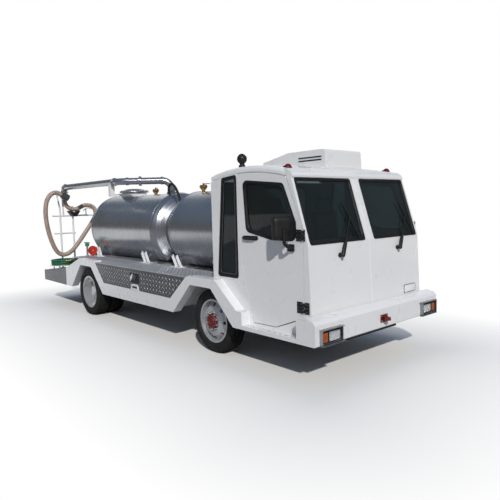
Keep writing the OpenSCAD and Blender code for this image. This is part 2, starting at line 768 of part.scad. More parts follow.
floor_front_x = nose_foot_x - wall_t - 14;

module cab_floor() {
    color("#6b6e72") along_y(-cab_half + wall_t, cab_half - wall_t)
        polygon([[cab_rear_x + wall_t, seat_floor_z - wall_t], [cab_rear_x + wall_t, seat_floor_z],
            [riser_x + wall_t, seat_floor_z], [riser_x + wall_t, floor_z], [floor_front_x, floor_z],
            [floor_front_x, nose_foot_z], [riser_x, nose_foot_z], [riser_x, seat_floor_z - wall_t]]);
}

// The front, seen from the side: nose panel below, screen frame above. Both run past their ends by over.
function front_profile(over) =
    let (foot_x = nose_foot_x + over * (nose_foot_x - screen_foot_x) / (screen_z - nose_foot_z),
         head_x = screen_head_x - over * screen_rake / (header_z - screen_z))
    [[foot_x, nose_foot_z - over], [screen_foot_x, screen_z], [head_x, header_z + over],
        [head_x - wall_t, header_z + over], [screen_foot_x - wall_t, screen_z],
        [foot_x - wall_t, nose_foot_z - over]];

crease_deg = 0.55;
screen_pillar = 88;
screen_half = 905;
screen_foot_z = screen_z + 8;
screen_top_z = screen_head_z - 14;

// Left half of the front, swept back from the crease in the middle
module front_half() {
    intersection() {
        translate([nose_foot_x, 0, 0]) rotate([0, 0, crease_deg]) translate([-nose_foot_x, 0, 0])
            along_y(-wall_t, cab_half + wall_t) polygon(front_profile(wall_t));
        box(door_top_x - wall_t, bumper_x, 0, cab_half, nose_foot_z, header_z);
    }
}

module screen_opening(grow = 0) {
    along_x(screen_head_x - 200, bumper_x)
        polygon(rounded([[screen_pillar - grow, screen_foot_z - grow, 20], [screen_half + grow, screen_foot_z - grow, 20],
            [screen_half + grow, screen_top_z + grow, 20], [screen_pillar - grow, screen_top_z + grow, 20]]));
}

// Corner post between the door and the front; its rear edge is cut to suit the door
function post_outline() = [[door_front_x - 20, nose_foot_z], [nose_foot_x - wall_t / 2, nose_foot_z],
    [screen_foot_x - wall_t / 2, screen_z], [screen_head_x - wall_t / 2, header_z],
    [door_top_x - 20, header_z], [door_front_x - 20, belt_z]];

// Room round the front edge of the door
module door_room() {
    lean = door_gap + 2;
    top = rail_z(door_top_x - 16);
    along_y(cab_half - wall_t - door_gap, cab_half + cut)
        polygon([[door_rear_x, nose_foot_z - cut], [door_front_x + door_gap, nose_foot_z - cut],
            [door_front_x + door_gap, door_corner_z], [door_front_x + 4 + lean, belt_z], [door_top_x + lean, top],
            [door_rear_x, top]]);
}

module cab_front() {
    color("#eef0f1") difference() {
        both_sides() {
            front_half();
            along_y(cab_half - wall_t, cab_half) polygon(post_outline());
        }
        both_sides() screen_opening();
        both_sides() door_room();
    }
    color("#17181a") both_sides() for (i = [0, 1]) post_hinge(hinge_z[i], post_leaf[i]);
}

rear_window = [620, 1500, 1950];

module cab_rear() {
    color("#eef0f1") difference() {
        box(cab_rear_x, cab_rear_x + wall_t, -cab_half, cab_half, deck_z, rail_z(cab_rear_x) - 2);
        rear_window_cut(0);
    }
}

module rear_window_cut(grow) {
    along_x(cab_rear_x - cut, cab_rear_x + wall_t + cut) translate([0, (rear_window[1] + rear_window[2]) / 2])
        polygon(rounded_box(2 * rear_window[0] + 2 * grow, rear_window[2] - rear_window[1] + 2 * grow, 40));
}

// Height of the roof rail's lower edge.
function rail_z(x) = roof_axis_z + sqrt(pow(roof_r - rail_depth, 2) - pow(x - roof_mid_x, 2));

// Points along the rail's lower edge, lowered by drop.
function rail_line(x0, x1, drop, n = 5) =
    [for (i = [0 : n]) let (x = x0 + (x1 - x0) * i / n) [x, rail_z(x) - drop]];

// Gap between the door's foot and the sill panel under it
sill_gap = 8;
// Lower front corner of the door
door_corner_z = 662;

// Panel behind the door, with a sill that runs forward under it
function quarter_outline() = concat([
    [cab_rear_x + wall_t, arch_z + 14], [front_axle_x + arch_half_top + 8, arch_z + 14],
    [front_axle_x + arch_half_foot - 30, sill_z], [door_front_x + door_gap, sill_z],
    [door_front_x + door_gap, door_corner_z - sill_gap], [door_front_x - 380, door_foot_z + 6 - sill_gap],
    [door_rear_x + 215 - door_gap, door_foot_z - sill_gap], [door_rear_x + 15 - door_gap, 1296],
    [door_rear_x - door_gap, 1400]], rail_line(door_rear_x - door_gap, cab_rear_x + wall_t, 2));

quarter_window_z = [960, 2060];

function quarter_window(grow) = rounded([
    [cab_rear_x + 100 - grow, quarter_window_z[0] - grow, 30],
    [door_rear_x - 30 + grow, quarter_window_z[0] - grow, 30],
    [door_rear_x - 30 + grow, quarter_window_z[1] + grow, 30],
    [cab_rear_x + 205 - grow, quarter_window_z[1] - 24 + grow, 30]]);

module quarter_panels() {
    color("#eef0f1") both_sides() difference() {
        along_y(cab_half - wall_t, cab_half) polygon(quarter_outline());
        along_y(cab_half - wall_t - cut, cab_half + cut) polygon(quarter_window(0));
    }
}

roof_edge_r = 45;
roof_crown = 30;
roof_fn = 720;

module roof() {
    lead = asin((cab_rear_x - roof_mid_x) / roof_r);
    trail = asin((screen_head_x - 90 - roof_mid_x) / roof_r);
    color("#f2f3f4") {
        // Barrel shell with side rails, turned about an axis that runs across the cab.
        translate([roof_mid_x, 0, roof_axis_z]) rotate([-90, 0, 0]) rotate([0, 0, -90 + lead])
            rotate_extrude(angle = trail - lead, $fn = roof_fn)
                polygon(rounded([[roof_r - rail_depth, -cab_half, 0], [roof_r, -cab_half, roof_edge_r],
                    [roof_r + roof_crown, 0, 0], [roof_r, cab_half, roof_edge_r], [roof_r - rail_depth, cab_half, 0],
                    [roof_r - rail_depth, cab_half - wall_t, 0], [roof_r - wall_t, cab_half - wall_t - 24, 0],
                    [roof_r - wall_t, -cab_half + wall_t + 24, 0], [roof_r - rail_depth, -cab_half + wall_t, 0]]));
        difference() {
            visor();
            both_sides() door_room();
        }
    }
}

// Front of the roof, over the screen.
module visor() {
    top_x = screen_head_x - 95;
    top_z = roof_axis_z + sqrt(roof_r * roof_r - pow(top_x - roof_mid_x, 2));
    along_y(-cab_half + 6, cab_half - 6)
        polygon([[top_x - 4, header_z], [top_x - 4, top_z], [top_x + 30, top_z - 6], [screen_head_x - 10, header_z + 44],
            [screen_head_x + 4, header_z + 20], [screen_head_x + 2, header_z]]);
}

module bumper() {
    color("#eef0f1") {
        along_y(-half_w, half_w)
            polygon(rounded([[nose_foot_x, skirt_z, 0], [bumper_x, skirt_z, 14], [bumper_x, skirt_z + 205, 14],
                [bumper_x - 34, skirt_z + 235, 14], [nose_foot_x + 4, skirt_z + 250, 0]]));
        both_sides() box(door_front_x + door_gap, nose_foot_x + cut, cab_half, half_w, skirt_z, skirt_z + 230);
    }
}

// Tow eye: a forged ring on a boss, its hole upright.
tow_z = 540;
tow_hole_r = 20;
tow_t = 30;
tow_ring_r = 38;

module tow_eye() {
    centre_x = bumper_x + tow_reach - tow_ring_r;
    color("#c81e1e") difference() {
        union() {
            translate([centre_x, 0, tow_z - tow_t / 2]) cylinder(r = tow_ring_r, h = tow_t);
            box(bumper_x, centre_x, -22, 22, tow_z - tow_t / 2, tow_z + tow_t / 2);
            box(bumper_x, bumper_x + 8, -60, 60, tow_z - 40, tow_z + 40);
        }
        translate([centre_x, 0, tow_z - tow_t]) cylinder(r = tow_hole_r, h = 2 * tow_t);
    }
}

// Headlamps: a housing on the bumper, lens inboard and turn lamp outboard.
lamp_y = 862;
lamp_z = 520;
lamp_w = 262;
lamp_h = 112;
lamp_depth = 30;
guard_w = 296;
guard_h = 150;
guard_depth = 40;

module headlamps() {
    color("#202226") both_sides() translate([0, lamp_y, lamp_z])
        along_x(bumper_x, bumper_x + lamp_depth) polygon(rounded_box(lamp_w, lamp_h, 12));
}

module lamp_guards() {
    color("#8a8f94") both_sides() translate([0, lamp_y, lamp_z])
        along_x(bumper_x, bumper_x + guard_depth) difference() {
            polygon(rounded_box(guard_w, guard_h, 10));
            polygon(rounded_box(guard_w - 12, guard_h - 12, 8));
        }
}

// Glass in its openings: two screen panes, two quarter windows and the rear window.
module cab_glass() {
    color("#2a3238") {
        both_sides() intersection() {
            screen_opening(-seat_gap);
            translate([nose_foot_x, 0, 0]) rotate([0, 0, crease_deg]) translate([-nose_foot_x - 12, 0, 0])
                along_y(0, cab_half)
                    polygon([[screen_foot_x + 6, screen_z - 19], [screen_head_x, header_z],
                        [screen_head_x - glass_t, header_z], [screen_foot_x + 6 - glass_t, screen_z - 19]]);
        }
        both_sides() along_y(cab_half - 20, cab_half - 20 + glass_t) polygon(quarter_window(-seat_gap));
        intersection() {
            rear_window_cut(-seat_gap);
            box(cab_rear_x + 17, cab_rear_x + 17 + glass_t, -cab_half, cab_half, deck_z, roof_z);
        }
    }
}

// Wipers: pivot y and z, tip y and z
wiper_table = [[-500, 1232, -270, 1586], [507, 1235, 760, 1575]];
wiper_r = 7;
wiper_off = 13;
// Ends of a blade from the arm's tip: y, z
wiper_ends = [[90, -220], [-60, 160]];

// A point of the screen or the nose panel, stood off by lift.
function front_x(z, y) = (z < screen_z
    ? screen_foot_x + (nose_foot_x - screen_foot_x) * (screen_z - z) / (screen_z - nose_foot_z)
    : screen_foot_x - screen_rake * (z - screen_z) / (header_z - screen_z)) - abs(y) * sin(crease_deg);

module wipers() {
    color("#17181a") for (w = wiper_table) {
        foot = [front_x(w[1], w[0]), w[0], w[1]];
        tip = [front_x(w[3], w[2]) + 24, w[2], w[3]];
        blade = [for (end = wiper_ends)
            [front_x(w[3] + end[1], w[2] + end[0]) + wiper_off, w[2] + end[0], w[3] + end[1]]];
        difference() {
            bar(foot - [10, 0, 0], foot + [52, 0, 0], 20);
            translate([seat_gap, 0, 0]) both_sides() front_half();
        }
        bar(foot + [44, 0, 0], tip, wiper_r);
        bar(blade[0], blade[1], wiper_r - 1);
        bar(tip - [20, 0, 0], tip + [4, 0, 0], wiper_r + 2);
    }
}

// Room for the roof's skin under the things that stand on it
module roof_cut() {
    translate([roof_mid_x, 0, roof_axis_z]) rotate([-90, 0, 0]) rotate_extrude($fn = roof_fn)
        polygon([[roof_r - 300, -cab_half], [roof_r + seat_gap, -cab_half],
            [roof_r + roof_crown + seat_gap, 0], [roof_r + seat_gap, cab_half], [roof_r - 300, cab_half]]);
}

ac_half = 310;

module air_conditioner() {
    color("#f2f3f4") difference() {
        along_y(-ac_half, ac_half)
            polygon(rounded([[roof_mid_x - 415, roof_z - 60, 0], [roof_mid_x - 415, roof_z + 82, 20],
                [roof_mid_x + 5, roof_z + 163, 20], [roof_mid_x + 530, roof_z + 163, 30],
                [roof_mid_x + 545, roof_z - 60, 0]]));
        roof_cut();
    }
}

// Height of the roof's skin at a place on it.
function skin_z(x, y) = roof_axis_z + sqrt(pow(roof_r + roof_crown * (1 - abs(y) / cab_half), 2) - pow(x - roof_mid_x, 2));

marker_x = roof_mid_x + 515;
marker_y = 840;
marker_r = 38;
tail_lamp_y = [700, 850];

module marker_lamps() {
    color("#b3201c") {
        difference() {
            both_sides() translate([marker_x, marker_y, skin_z(marker_x, marker_y)]) sphere(r = marker_r);
            roof_cut();
        }
        both_sides() for (y = tail_lamp_y)
            translate([tail_x, y, 500]) rotate([0, -90, 0]) cylinder(r = 50, h = tail_lamp_reach);
    }
}

work_lamp_x = roof_mid_x - 165;
work_lamp_y = -850;
work_lamp_r = 54;

module work_lamp() {
    base = skin_z(work_lamp_x, work_lamp_y);
    color("#17181a") difference() {
        translate([work_lamp_x, work_lamp_y, base]) {
            translate([0, 0, -10]) cylinder(r = 24, h = 70);
            translate([0, 0, -10]) cylinder(r = 34, h = 22);
            translate([0, 0, 92]) sphere(r = work_lamp_r);
        }
        roof_cut();
    }
}

// Seats: base, cushion, back and headrest, one either side.
seat_y = 430;

module seats() {
    color("#4a4845") both_sides() translate([riser_x, seat_y, seat_floor_z]) {
        along_y(-230, 230) polygon(rounded([[-40, 0, 10], [380, 0, 10], [400, 150, 40], [90, 130, 0], [-10, 740, 40],
            [-110, 740, 40]]));
        along_y(-120, 120) polygon(rounded([[-105, 735, 0], [-20, 735, 0], [-25, 900, 30], [-105, 900, 30]]));
    }
}

dash_top_z = screen_z - 40;
wheel_tilt = 32;

module dashboard() {
    color("#2c2e31") {
        // Brackets to the corner posts
        box(door_front_x + door_gap + 2, door_front_x + door_gap + 10, -cab_half + wall_t, cab_half - wall_t,
            dash_top_z - 320, dash_top_z - 240);
        along_y(-cab_half + wall_t + 8, cab_half - wall_t - 8)
            polygon(rounded([[door_front_x - 260, dash_top_z - 230, 30], [nose_foot_x - wall_t - 50, dash_top_z - 330, 0],
                [screen_foot_x - wall_t - 34, dash_top_z, 0], [door_front_x - 200, dash_top_z, 40]]));
        translate([door_front_x - 430, seat_y, dash_top_z + 10]) rotate([0, -90 + 58, 0]) {
            rotate_extrude() translate([205, 0]) circle(r = 14, $fn = 16);
            for (a = [0 : 120 : 240])
                rotate([0, 0, a]) translate([0, 0, -8]) rotate([0, 0, 60]) translate([0, -16, 0]) cube([205, 32, 10]);
            translate([0, 0, -14]) cylinder(r = 55, h = 24);
            translate([0, 0, -330]) cylinder(r = 30, h = 330);
        }
    }
}

// Doors, drawn on the left and mirrored for the right

function door_outline() = concat([
    [door_rear_x, 1400], [door_rear_x + 15, 1296], [door_rear_x + 215, door_foot_z],
    [door_front_x - 380, door_foot_z + 6], [door_front_x, door_corner_z], [door_front_x + 4, belt_z]],
    rail_line(door_top_x, door_rear_x, door_gap));

function door_window(grow) = rounded([
    [door_rear_x + 92 - grow, 1994 + grow, 60], [door_rear_x + 135 - grow, 1478 - grow, 70],
    [door_rear_x + 515, 1400 - grow, 60], [door_front_x - 92 + grow, 1400 - grow, 70],
    [door_front_x - 96 + grow, 1555 + grow, 60], [door_top_x - 44 + grow, 1937 + grow, 60]]);

module door() {
    color("#eef0f1") difference() {
        along_y(cab_half - wall_t, cab_half) polygon(door_outline());
        along_y(cab_half - wall_t - cut, cab_half + cut) polygon(door_window(0));
    }
}

module door_glass() {
    color("#2a3238") along_y(cab_half - 24, cab_half - 24 + glass_t) polygon(door_window(-seat_gap));
}

// Hinges: outer leaves with a pin upright in front of the door's edge
hinge_z = [758, 1447];
hinge_h = 110;
hinge_leaf = 85;
// Reach of each leaf on the corner post
post_leaf = [70, 27];
hinge_t = 6;
hinge_pin_r = 6;
hinge_barrel_r = 11;
hinge_reach = hinge_barrel_r + 5;
hinge_x = door_front_x + door_gap / 2;
hinge_y = cab_half + hinge_barrel_r + 1;

// Leaf, pin and outer barrels on the corner post
module post_hinge(z, leaf) {
    box(hinge_x + hinge_reach, hinge_x + leaf, cab_half, cab_half + hinge_t,
        z - hinge_h / 2, z + hinge_h / 2);
    for (s = [-1, 1]) {
        translate([hinge_x, hinge_y, z + s * 31 - 15]) cylinder(r = hinge_barrel_r, h = 30);
        box(hinge_x, hinge_x + hinge_reach + cut, cab_half + 2, cab_half + hinge_t, z + s * 31 - 15, z + s * 31 + 15);
    }
    translate([hinge_x, hinge_y, z - 30]) cylinder(r = hinge_pin_r, h = 60);
}

// Leaf and middle barrel on the door
module door_hinge(z) {
    box(hinge_x - hinge_leaf, hinge_x - hinge_reach, cab_half, cab_half + hinge_t,
        z - hinge_h / 2, z + hinge_h / 2);
    difference() {
        union() {
            translate([hinge_x, hinge_y, z - 15]) cylinder(r = hinge_barrel_r, h = 30);
            box(hinge_x - hinge_reach - cut, hinge_x, cab_half + 2, cab_half + hinge_t, z - 15, z + 15);
        }
        translate([hinge_x, hinge_y, z - 20]) cylinder(r = hinge_pin_r + run_gap, h = 40);
    }
}

handle_x = door_rear_x + 80;
handle_len = 220;
mirror_x = door_front_x - 165;
mirror_z = 1515;
mirror_arm_z = 1325;
mirror_y = cab_half + 120;
mirror_toe = 20;

module door_fittings() {
    color("#17181a") {
        for (z = hinge_z) door_hinge(z);
        // handle: a bar on two feet
        box(handle_x, handle_x + handle_len, cab_half + 22, cab_half + 40, 1388, 1412);
        for (x = [handle_x + 10, handle_x + handle_len - 40])
            box(x, x + 30, cab_half, cab_half + 23, 1385, 1415);
        // mirror: foot, arm and a rounded head
        box(mirror_x - 20, mirror_x + 60, cab_half, cab_half + 24, mirror_arm_z - 35, mirror_arm_z + 35);
        bar([mirror_x + 20, cab_half + 20, mirror_arm_z], [mirror_x + 20, mirror_y, mirror_arm_z + 40], 13);
        bar([mirror_x + 20, mirror_y, mirror_arm_z + 30], [mirror_x + 20, mirror_y, mirror_z], 13);
        translate([mirror_x, mirror_y, mirror_z]) rotate([0, 0, mirror_toe])
            along_x(-28, 34) polygon(rounded_box(178, 222, 34));
    }
}

// Steering

ear_top = 75;
arm_len = 170;
stud_r = 12;
spindle_r = 30;
front_wheel_y = front_half_track - tyre_w / 2;

// Fork on the kingpin, stub axle and steering arm, at its place on the left
module knuckle() {
    color("#4a4c4f") translate([front_axle_x, kingpin_y, tyre_r]) {
        translate([0, 0, -ear_top]) cylinder(r = kingpin_r, h = 2 * ear_top);
        for (z = [-ear_top, eye_half + seat_gap])
            translate([0, 0, z]) {
                cylinder(r = 38, h = ear_top - eye_half - seat_gap);
                box(-38, 38, 0, 62, 0, ear_top - eye_half - seat_gap);
            }
        box(-38, 38, eye_r + 5, eye_r + 24, -ear_top, ear_top);
        disc_y(eye_r + 20, front_half_track - kingpin_y - 14, spindle_r);
        box(-arm_len, 0, -16, 16, -ear_top, -ear_top + 24);
        translate([-arm_len, 0, -ear_top]) cylinder(r = 26, h = 24);
        translate([-arm_len, 0, -ear_top - 38]) cylinder(r = stud_r, h = 40);
    }
}

module tie_rod() {
    rod_z = tyre_r - ear_top - 18;
    open_gap = 2;
    color("#3a3b3d") translate([front_axle_x - arm_len, 0, rod_z]) difference() {
        union() {
            disc_y(-kingpin_y + 20, kingpin_y - 20, 15);
            for (s = [-1, 1])
                translate([0, s * kingpin_y, -15]) cylinder(r = 27, h = 30);
        }
        translate([0, -kingpin_y, -30]) cylinder(r = stud_r + run_gap, h = 60);
        translate([0, kingpin_y, -30]) cylinder(r = stud_r + open_gap, h = 60);
    }
}

// Wheels

flange_h = 13;
bead_w = 168;
rim_t = 9;

// Barrel of a rim about its own middle plane
module rim_barrel() {
    half = bead_w / 2;
    turned_y([[bead_r - rim_t, -half - 8], [bead_r + flange_h, -half - 8], [bead_r + flange_h, -half],
        [bead_r, -half], [bead_r, half], [bead_r + flange_h, half], [bead_r + flange_h, half + 8],
        [bead_r - rim_t, half + 8]]);
}

module hand_holes(count, at_r, hole_r) {
    for (i = [0 : count - 1])
        rotate([0, 360 * i / count, 0]) translate([at_r, 0, 0]) disc_y(-300, 300, hole_r);
}

// Front rim: a disc that bulges outward, with the hub in its middle
module front_rim() {
    difference() {
        union() {
            color("#b9bcbf") rim_barrel();
            color("#b9bcbf") turned_y([[bead_r - rim_t - 2 + 3, 24], [bead_r - 70, 84], [bead_r - 130, 96], [60, 96],
                [60, 84], [bead_r - 134, 84], [bead_r - 74, 72], [bead_r - rim_t + 1, 8]]);
            color("#a5241d") disc_y(-6, 124, 82);
        }
        color("#a5241d") disc_y(-20, 112, spindle_r + run_gap);
        hand_holes(8, bead_r - 55, 20);
    }
}

// Twin rear rims bolted back to back on one hub
module rear_rim() {
    reach = twin_pitch / 2;
    color("#c4c6c8") difference() {
        union() {
            translate([0, reach, 0]) {
                rim_barrel();
                turned_y([[bead_r - rim_t + 1, -64], [bead_r - 80, -reach + 14], [100, -reach + 14], [100, -reach],
                    [bead_r - 76, -reach], [bead_r - rim_t + 1, -80]]);
            }
            translate([0, -reach, 0]) {
                rim_barrel();
                turned_y([[bead_r - rim_t + 1, 64], [bead_r - 80, reach - 14], [100, reach - 14], [100, reach],
                    [bead_r - 76, reach], [bead_r - rim_t + 1, 80]]);
            }
            disc_y(-50, 50, 118);
            disc_y(50, rear_half_track - hub_plane_y - 88, 78);
        }
        disc_y(-60, spindle_end_y - hub_plane_y + 3, rear_spindle_r + run_gap);
        hand_holes(8, bead_r - 62, 22);
    }
}

module tyre() {
    half = tyre_w / 2;
    r0 = bead_r + seat_gap;
    color("#1b1c1e") turned_y(rounded([[r0, -bead_w / 2 + 1, 0], [r0 + 14, -bead_w / 2 + 1, 0], [r0 + 52, -half, 30],
        [tyre_r - 40, -half, 26], [tyre_r, -half + 20, 16], [tyre_r, half - 20, 16], [tyre_r - 40, half, 26],
        [r0 + 52, half, 30], [r0 + 14, bead_w / 2 - 1, 0], [r0, bead_w / 2 - 1, 0]], 3));
}

module at_front_wheel() {
    translate([front_axle_x, front_wheel_y, tyre_r]) children();
}

module at_rear_wheel() {
    translate([rear_axle_x, hub_plane_y, tyre_r]) children();
}

module right() {
    mirror([0, 1, 0]) children();
}

module rear_tyres() {
    for (s = [-1, 1]) translate([0, s * twin_pitch / 2, 0]) tyre();
}

chassis_frame();
front_axle();
rear_axle();
leaf_springs();
power_unit();
fuel_tank();
deck();
skirts();
tread_panels();
rear_platform();
rear_rack();
waste_tank();
water_tank();
tank_saddles();
manway_cover();
discharge_pipe();
pipe_post();
brass_valves();
vent_hose();
drain_valve();
drain_hose();
hose_coupling();
rinse_hose();
cab_floor();
cab_front();
cab_rear();
quarter_panels();
roof();
bumper();
tow_eye();
headlamps();
lamp_guards();
cab_glass();
wipers();
air_conditioner();
marker_lamps();
work_lamp();
seats();
dashboard();
right() door();  // door_right
door();  // door_left
right() door_glass();  // door_glass_right
door_glass();  // door_glass_left
right() door_fittings();  // door_fittings_right
door_fittings();  // door_fittings_left
right() knuckle();  // knuckle_right
knuckle();  // knuckle_left
tie_rod();
right() at_front_wheel() front_rim();  // rim_front_right
at_front_wheel() front_rim();  // rim_front_left
right() at_rear_wheel() rear_rim();  // rim_rear_right
at_rear_wheel() rear_rim();  // rim_rear_left
right() at_front_wheel() tyre();  // tyre_front_right
at_front_wheel() tyre();  // tyre_front_left
right() at_rear_wheel() rear_tyres();  // tyre_rear_right
at_rear_wheel() rear_tyres();  // tyre_rear_left
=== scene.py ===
"""Aircraft lavatory service truck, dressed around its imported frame.

Metres, in the part's own frame: +X forward, +Y to the truck's left, +Z up from the ground.
"""
import json
import math

import bmesh
import bpy
from mathutils import Matrix, Vector


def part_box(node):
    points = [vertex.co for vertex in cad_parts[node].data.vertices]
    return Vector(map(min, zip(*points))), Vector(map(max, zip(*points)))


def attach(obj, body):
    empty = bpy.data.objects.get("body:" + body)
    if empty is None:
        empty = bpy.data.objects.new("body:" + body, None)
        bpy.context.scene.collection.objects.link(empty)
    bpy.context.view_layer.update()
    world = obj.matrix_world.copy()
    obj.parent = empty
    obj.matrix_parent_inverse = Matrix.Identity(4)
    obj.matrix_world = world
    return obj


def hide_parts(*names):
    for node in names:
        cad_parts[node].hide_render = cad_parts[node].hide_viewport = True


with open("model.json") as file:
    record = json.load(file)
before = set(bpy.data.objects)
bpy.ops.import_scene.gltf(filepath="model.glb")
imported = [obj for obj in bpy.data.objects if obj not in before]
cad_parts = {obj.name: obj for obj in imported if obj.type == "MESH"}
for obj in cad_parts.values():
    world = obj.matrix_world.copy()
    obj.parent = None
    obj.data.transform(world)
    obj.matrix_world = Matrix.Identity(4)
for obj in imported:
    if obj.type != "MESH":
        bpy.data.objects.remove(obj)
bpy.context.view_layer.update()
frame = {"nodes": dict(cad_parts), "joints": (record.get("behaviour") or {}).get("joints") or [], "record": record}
nodes = frame["nodes"]
joint_at = {j["name"]: Vector(j["pos_m"]) for j in frame["joints"]}

# Main places, from the frame
front_axle = joint_at["wheel_front_left_spin"]
rear_axle = joint_at["wheel_rear_left_spin"]
front_x = front_axle.x
rear_x = rear_axle.x
tail_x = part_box("rear_platform")[0].x
half_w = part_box("bumper")[1].y
bumper_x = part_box("bumper")[1].x
cab_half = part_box("door_left")[1].y
cab_rear_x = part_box("cab_rear")[0].x
deck_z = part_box("deck")[1].z
tank_low, tank_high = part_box("waste_tank")
tank_r = (tank_high.y - tank_low.y) / 2
tank_z = (tank_high.z + tank_low.z) / 2
water_low, water_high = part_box("water_tank")
tyre_r = front_axle.z
head_depth = 0.250
cab_head_depth = 0.205
waste_seams = (tank_low.x + head_depth, tank_high.x - head_depth)
water_seams = (water_low.x + head_depth, water_high.x - cab_head_depth)
hose_x = tail_x + 0.160
rack_x = tail_x + 0.054
tank_top = tank_z + tank_r
seat_floor_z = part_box("cab_floor")[1].z

# Nose and doors, as in the part's source
screen_z = 1.357
header_z = 2.000
nose_foot_z = 0.460
screen_foot_x = bumper_x - 0.170
nose_foot_x = bumper_x - 0.128
screen_rake = 0.206
crease = math.sin(math.radians(0.55))
door_rear_x = front_x + 0.592
door_front_x = screen_foot_x - 0.072
door_top_x = screen_foot_x - screen_rake - 0.084
riser_x = front_x + 0.640
roof_mid_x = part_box("roof")[0].x + 0.6005

# Camera of the photograph
VIEW_AZIMUTH = math.radians(48.903)
VIEW_ELEVATION = math.radians(5.152)
VIEW_ROLL = math.radians(-1.42)
VIEW_FROM = Vector((6.380, -4.397, 1.745))
LENS = 36.06

X = Vector((1, 0, 0))
Y = Vector((0, 1, 0))
Z = Vector((0, 0, 1))
SIDES = (("right", -1), ("left", 1))


def set_camera():
    data = bpy.data.cameras.new("camera")
    data.lens = LENS
    data.sensor_width = 36
    data.clip_end = 200
    camera = bpy.data.objects.new("camera", data)
    bpy.context.scene.collection.objects.link(camera)
    back = Vector((math.sin(VIEW_AZIMUTH) * math.cos(VIEW_ELEVATION),
                   -math.cos(VIEW_AZIMUTH) * math.cos(VIEW_ELEVATION), math.sin(VIEW_ELEVATION)))
    level = Vector((math.cos(VIEW_AZIMUTH), math.sin(VIEW_AZIMUTH), 0))
    up = back.cross(level)
    across = math.cos(VIEW_ROLL) * level + math.sin(VIEW_ROLL) * up
    upright = math.cos(VIEW_ROLL) * up - math.sin(VIEW_ROLL) * level
    camera.matrix_world = plane(across, upright, back, VIEW_FROM)
    bpy.context.scene.camera = camera


# Materials


class Nodes:
    """The node tree of a new material or world, with short calls to add and link nodes."""

    def __init__(self, name, kind="materials"):
        self.owner = getattr(bpy.data, kind).new(name)
        self.owner.use_nodes = True
        self.tree = self.owner.node_tree
        self.shader = self.tree.nodes.get("Principled BSDF")
        self.coords = self.add("ShaderNodeTexCoord").outputs
        self.place = self.coords["Object"]

    def feed(self, value, socket):
        """Link another node's output to a socket, or set a plain value on it."""
        if isinstance(value, bpy.types.NodeSocket):
            self.tree.links.new(value, socket)
        else:
            socket.default_value = value

    def add(self, kind, sockets=None, **settings):
        node = self.tree.nodes.new(kind)
        for key, value in settings.items():
            setattr(node, key, value)
        for key, value in (sockets or {}).items():
            self.feed(value, node.inputs[key])
        return node

    def noise(self, scale, detail=3, stretch=None):
        place = self.place
        if stretch:
            place = self.add("ShaderNodeMapping", {"Vector": place, "Scale": stretch}).outputs["Vector"]
        return self.add("ShaderNodeTexNoise", {"Scale": scale, "Detail": detail,
                                               "Vector": place}).outputs["Fac"]

    def wave(self, direction, scale, distortion=0.0):
        sockets = {"Scale": scale, "Distortion": distortion, "Vector": self.place}
        return self.add("ShaderNodeTexWave", sockets, bands_direction=direction).outputs["Fac"]

    def ramp(self, source, stops):
        node = self.add("ShaderNodeValToRGB", {"Fac": source})
        while len(node.color_ramp.elements) < len(stops):
            node.color_ramp.elements.new(0.5)
        for element, (at, colour) in zip(node.color_ramp.elements, stops):
            element.position = at
            element.color = (*colour, 1)
        return node.outputs["Color"]

    def range(self, source, low=0, high=1, start=0.3, end=0.7):
        sockets = {"Value": source, "From Min": start, "From Max": end, "To Min": low, "To Max": high}
        return self.add("ShaderNodeMapRange", sockets).outputs["Result"]

    def mix(self, factor, *colours):
        node = self.add("ShaderNodeMix", {"Factor": factor}, data_type="RGBA")
        for socket, colour in zip(node.inputs[6:8], colours):
            self.feed((*colour, 1) if isinstance(colour, tuple) else colour, socket)
        return node.outputs[2]

    def calc(self, operation, *values):
        return self.add("ShaderNodeMath", dict(enumerate(values)), operation=operation).outputs["Value"]

    def aim(self, operation, *values, output="Vector"):
        return self.add("ShaderNodeVectorMath", dict(enumerate(values)), operation=operation).outputs[output]

    def shade(self, factor, first, second):
        return self.add("ShaderNodeMixShader", {0: factor, 1: first, 2: second}).outputs["Shader"]

    def height(self, place):
        return self.add("ShaderNodeSeparateXYZ", {"Vector": place}).outputs["Z"]

    def set(self, **values):
        for key, value in values.items():
            self.feed(value, self.shader.inputs[key.replace("_", " ")])

    def bump(self, source, strength, distance=0.002):
        sockets = {"Strength": strength, "Distance": distance, "Height": source}
        self.set(Normal=self.add("ShaderNodeBump", sockets).outputs["Normal"])

    def paint(self, factor, colour, other, gloss, rough):
        """Base colour between two by a factor, and roughness between two by a noise."""
        self.set(Base_Color=self.mix(factor, colour, other), Roughness=self.range(gloss, *rough))


def mottled(name, colour, other, scale, rough, bump_scale, bump, sockets=()):
    """A surface whose colour and gloss wander between two values, with a fine relief."""
    n = Nodes(name)
    n.paint(n.range(n.noise(scale, 4)), colour, other, n.noise(scale * 3, 4), rough)
    n.bump(n.noise(bump_scale, 2), bump)
    n.set(**dict(sockets))
    return n.owner


def white_paint():
    """Clean white with a little dust low down."""
    n = Nodes("white_paint")
    clean = n.mix(n.range(n.noise(1.4, 4)), (0.80, 0.805, 0.81), (0.775, 0.78, 0.785))
    low = n.range(n.height(n.place), 1, 0, 0.40, 0.75)
    dust = n.calc("MULTIPLY", low, n.range(n.noise(9, 6), 0, 0.05, 0.48, 0.80))
    n.paint(dust, clean, (0.50, 0.47, 0.42), n.noise(5, 4), (0.24, 0.36))
    n.bump(n.noise(260, 2), 0.03)
    n.set(Coat_Weight=0.35, Coat_Roughness=0.08)
    return n.owner


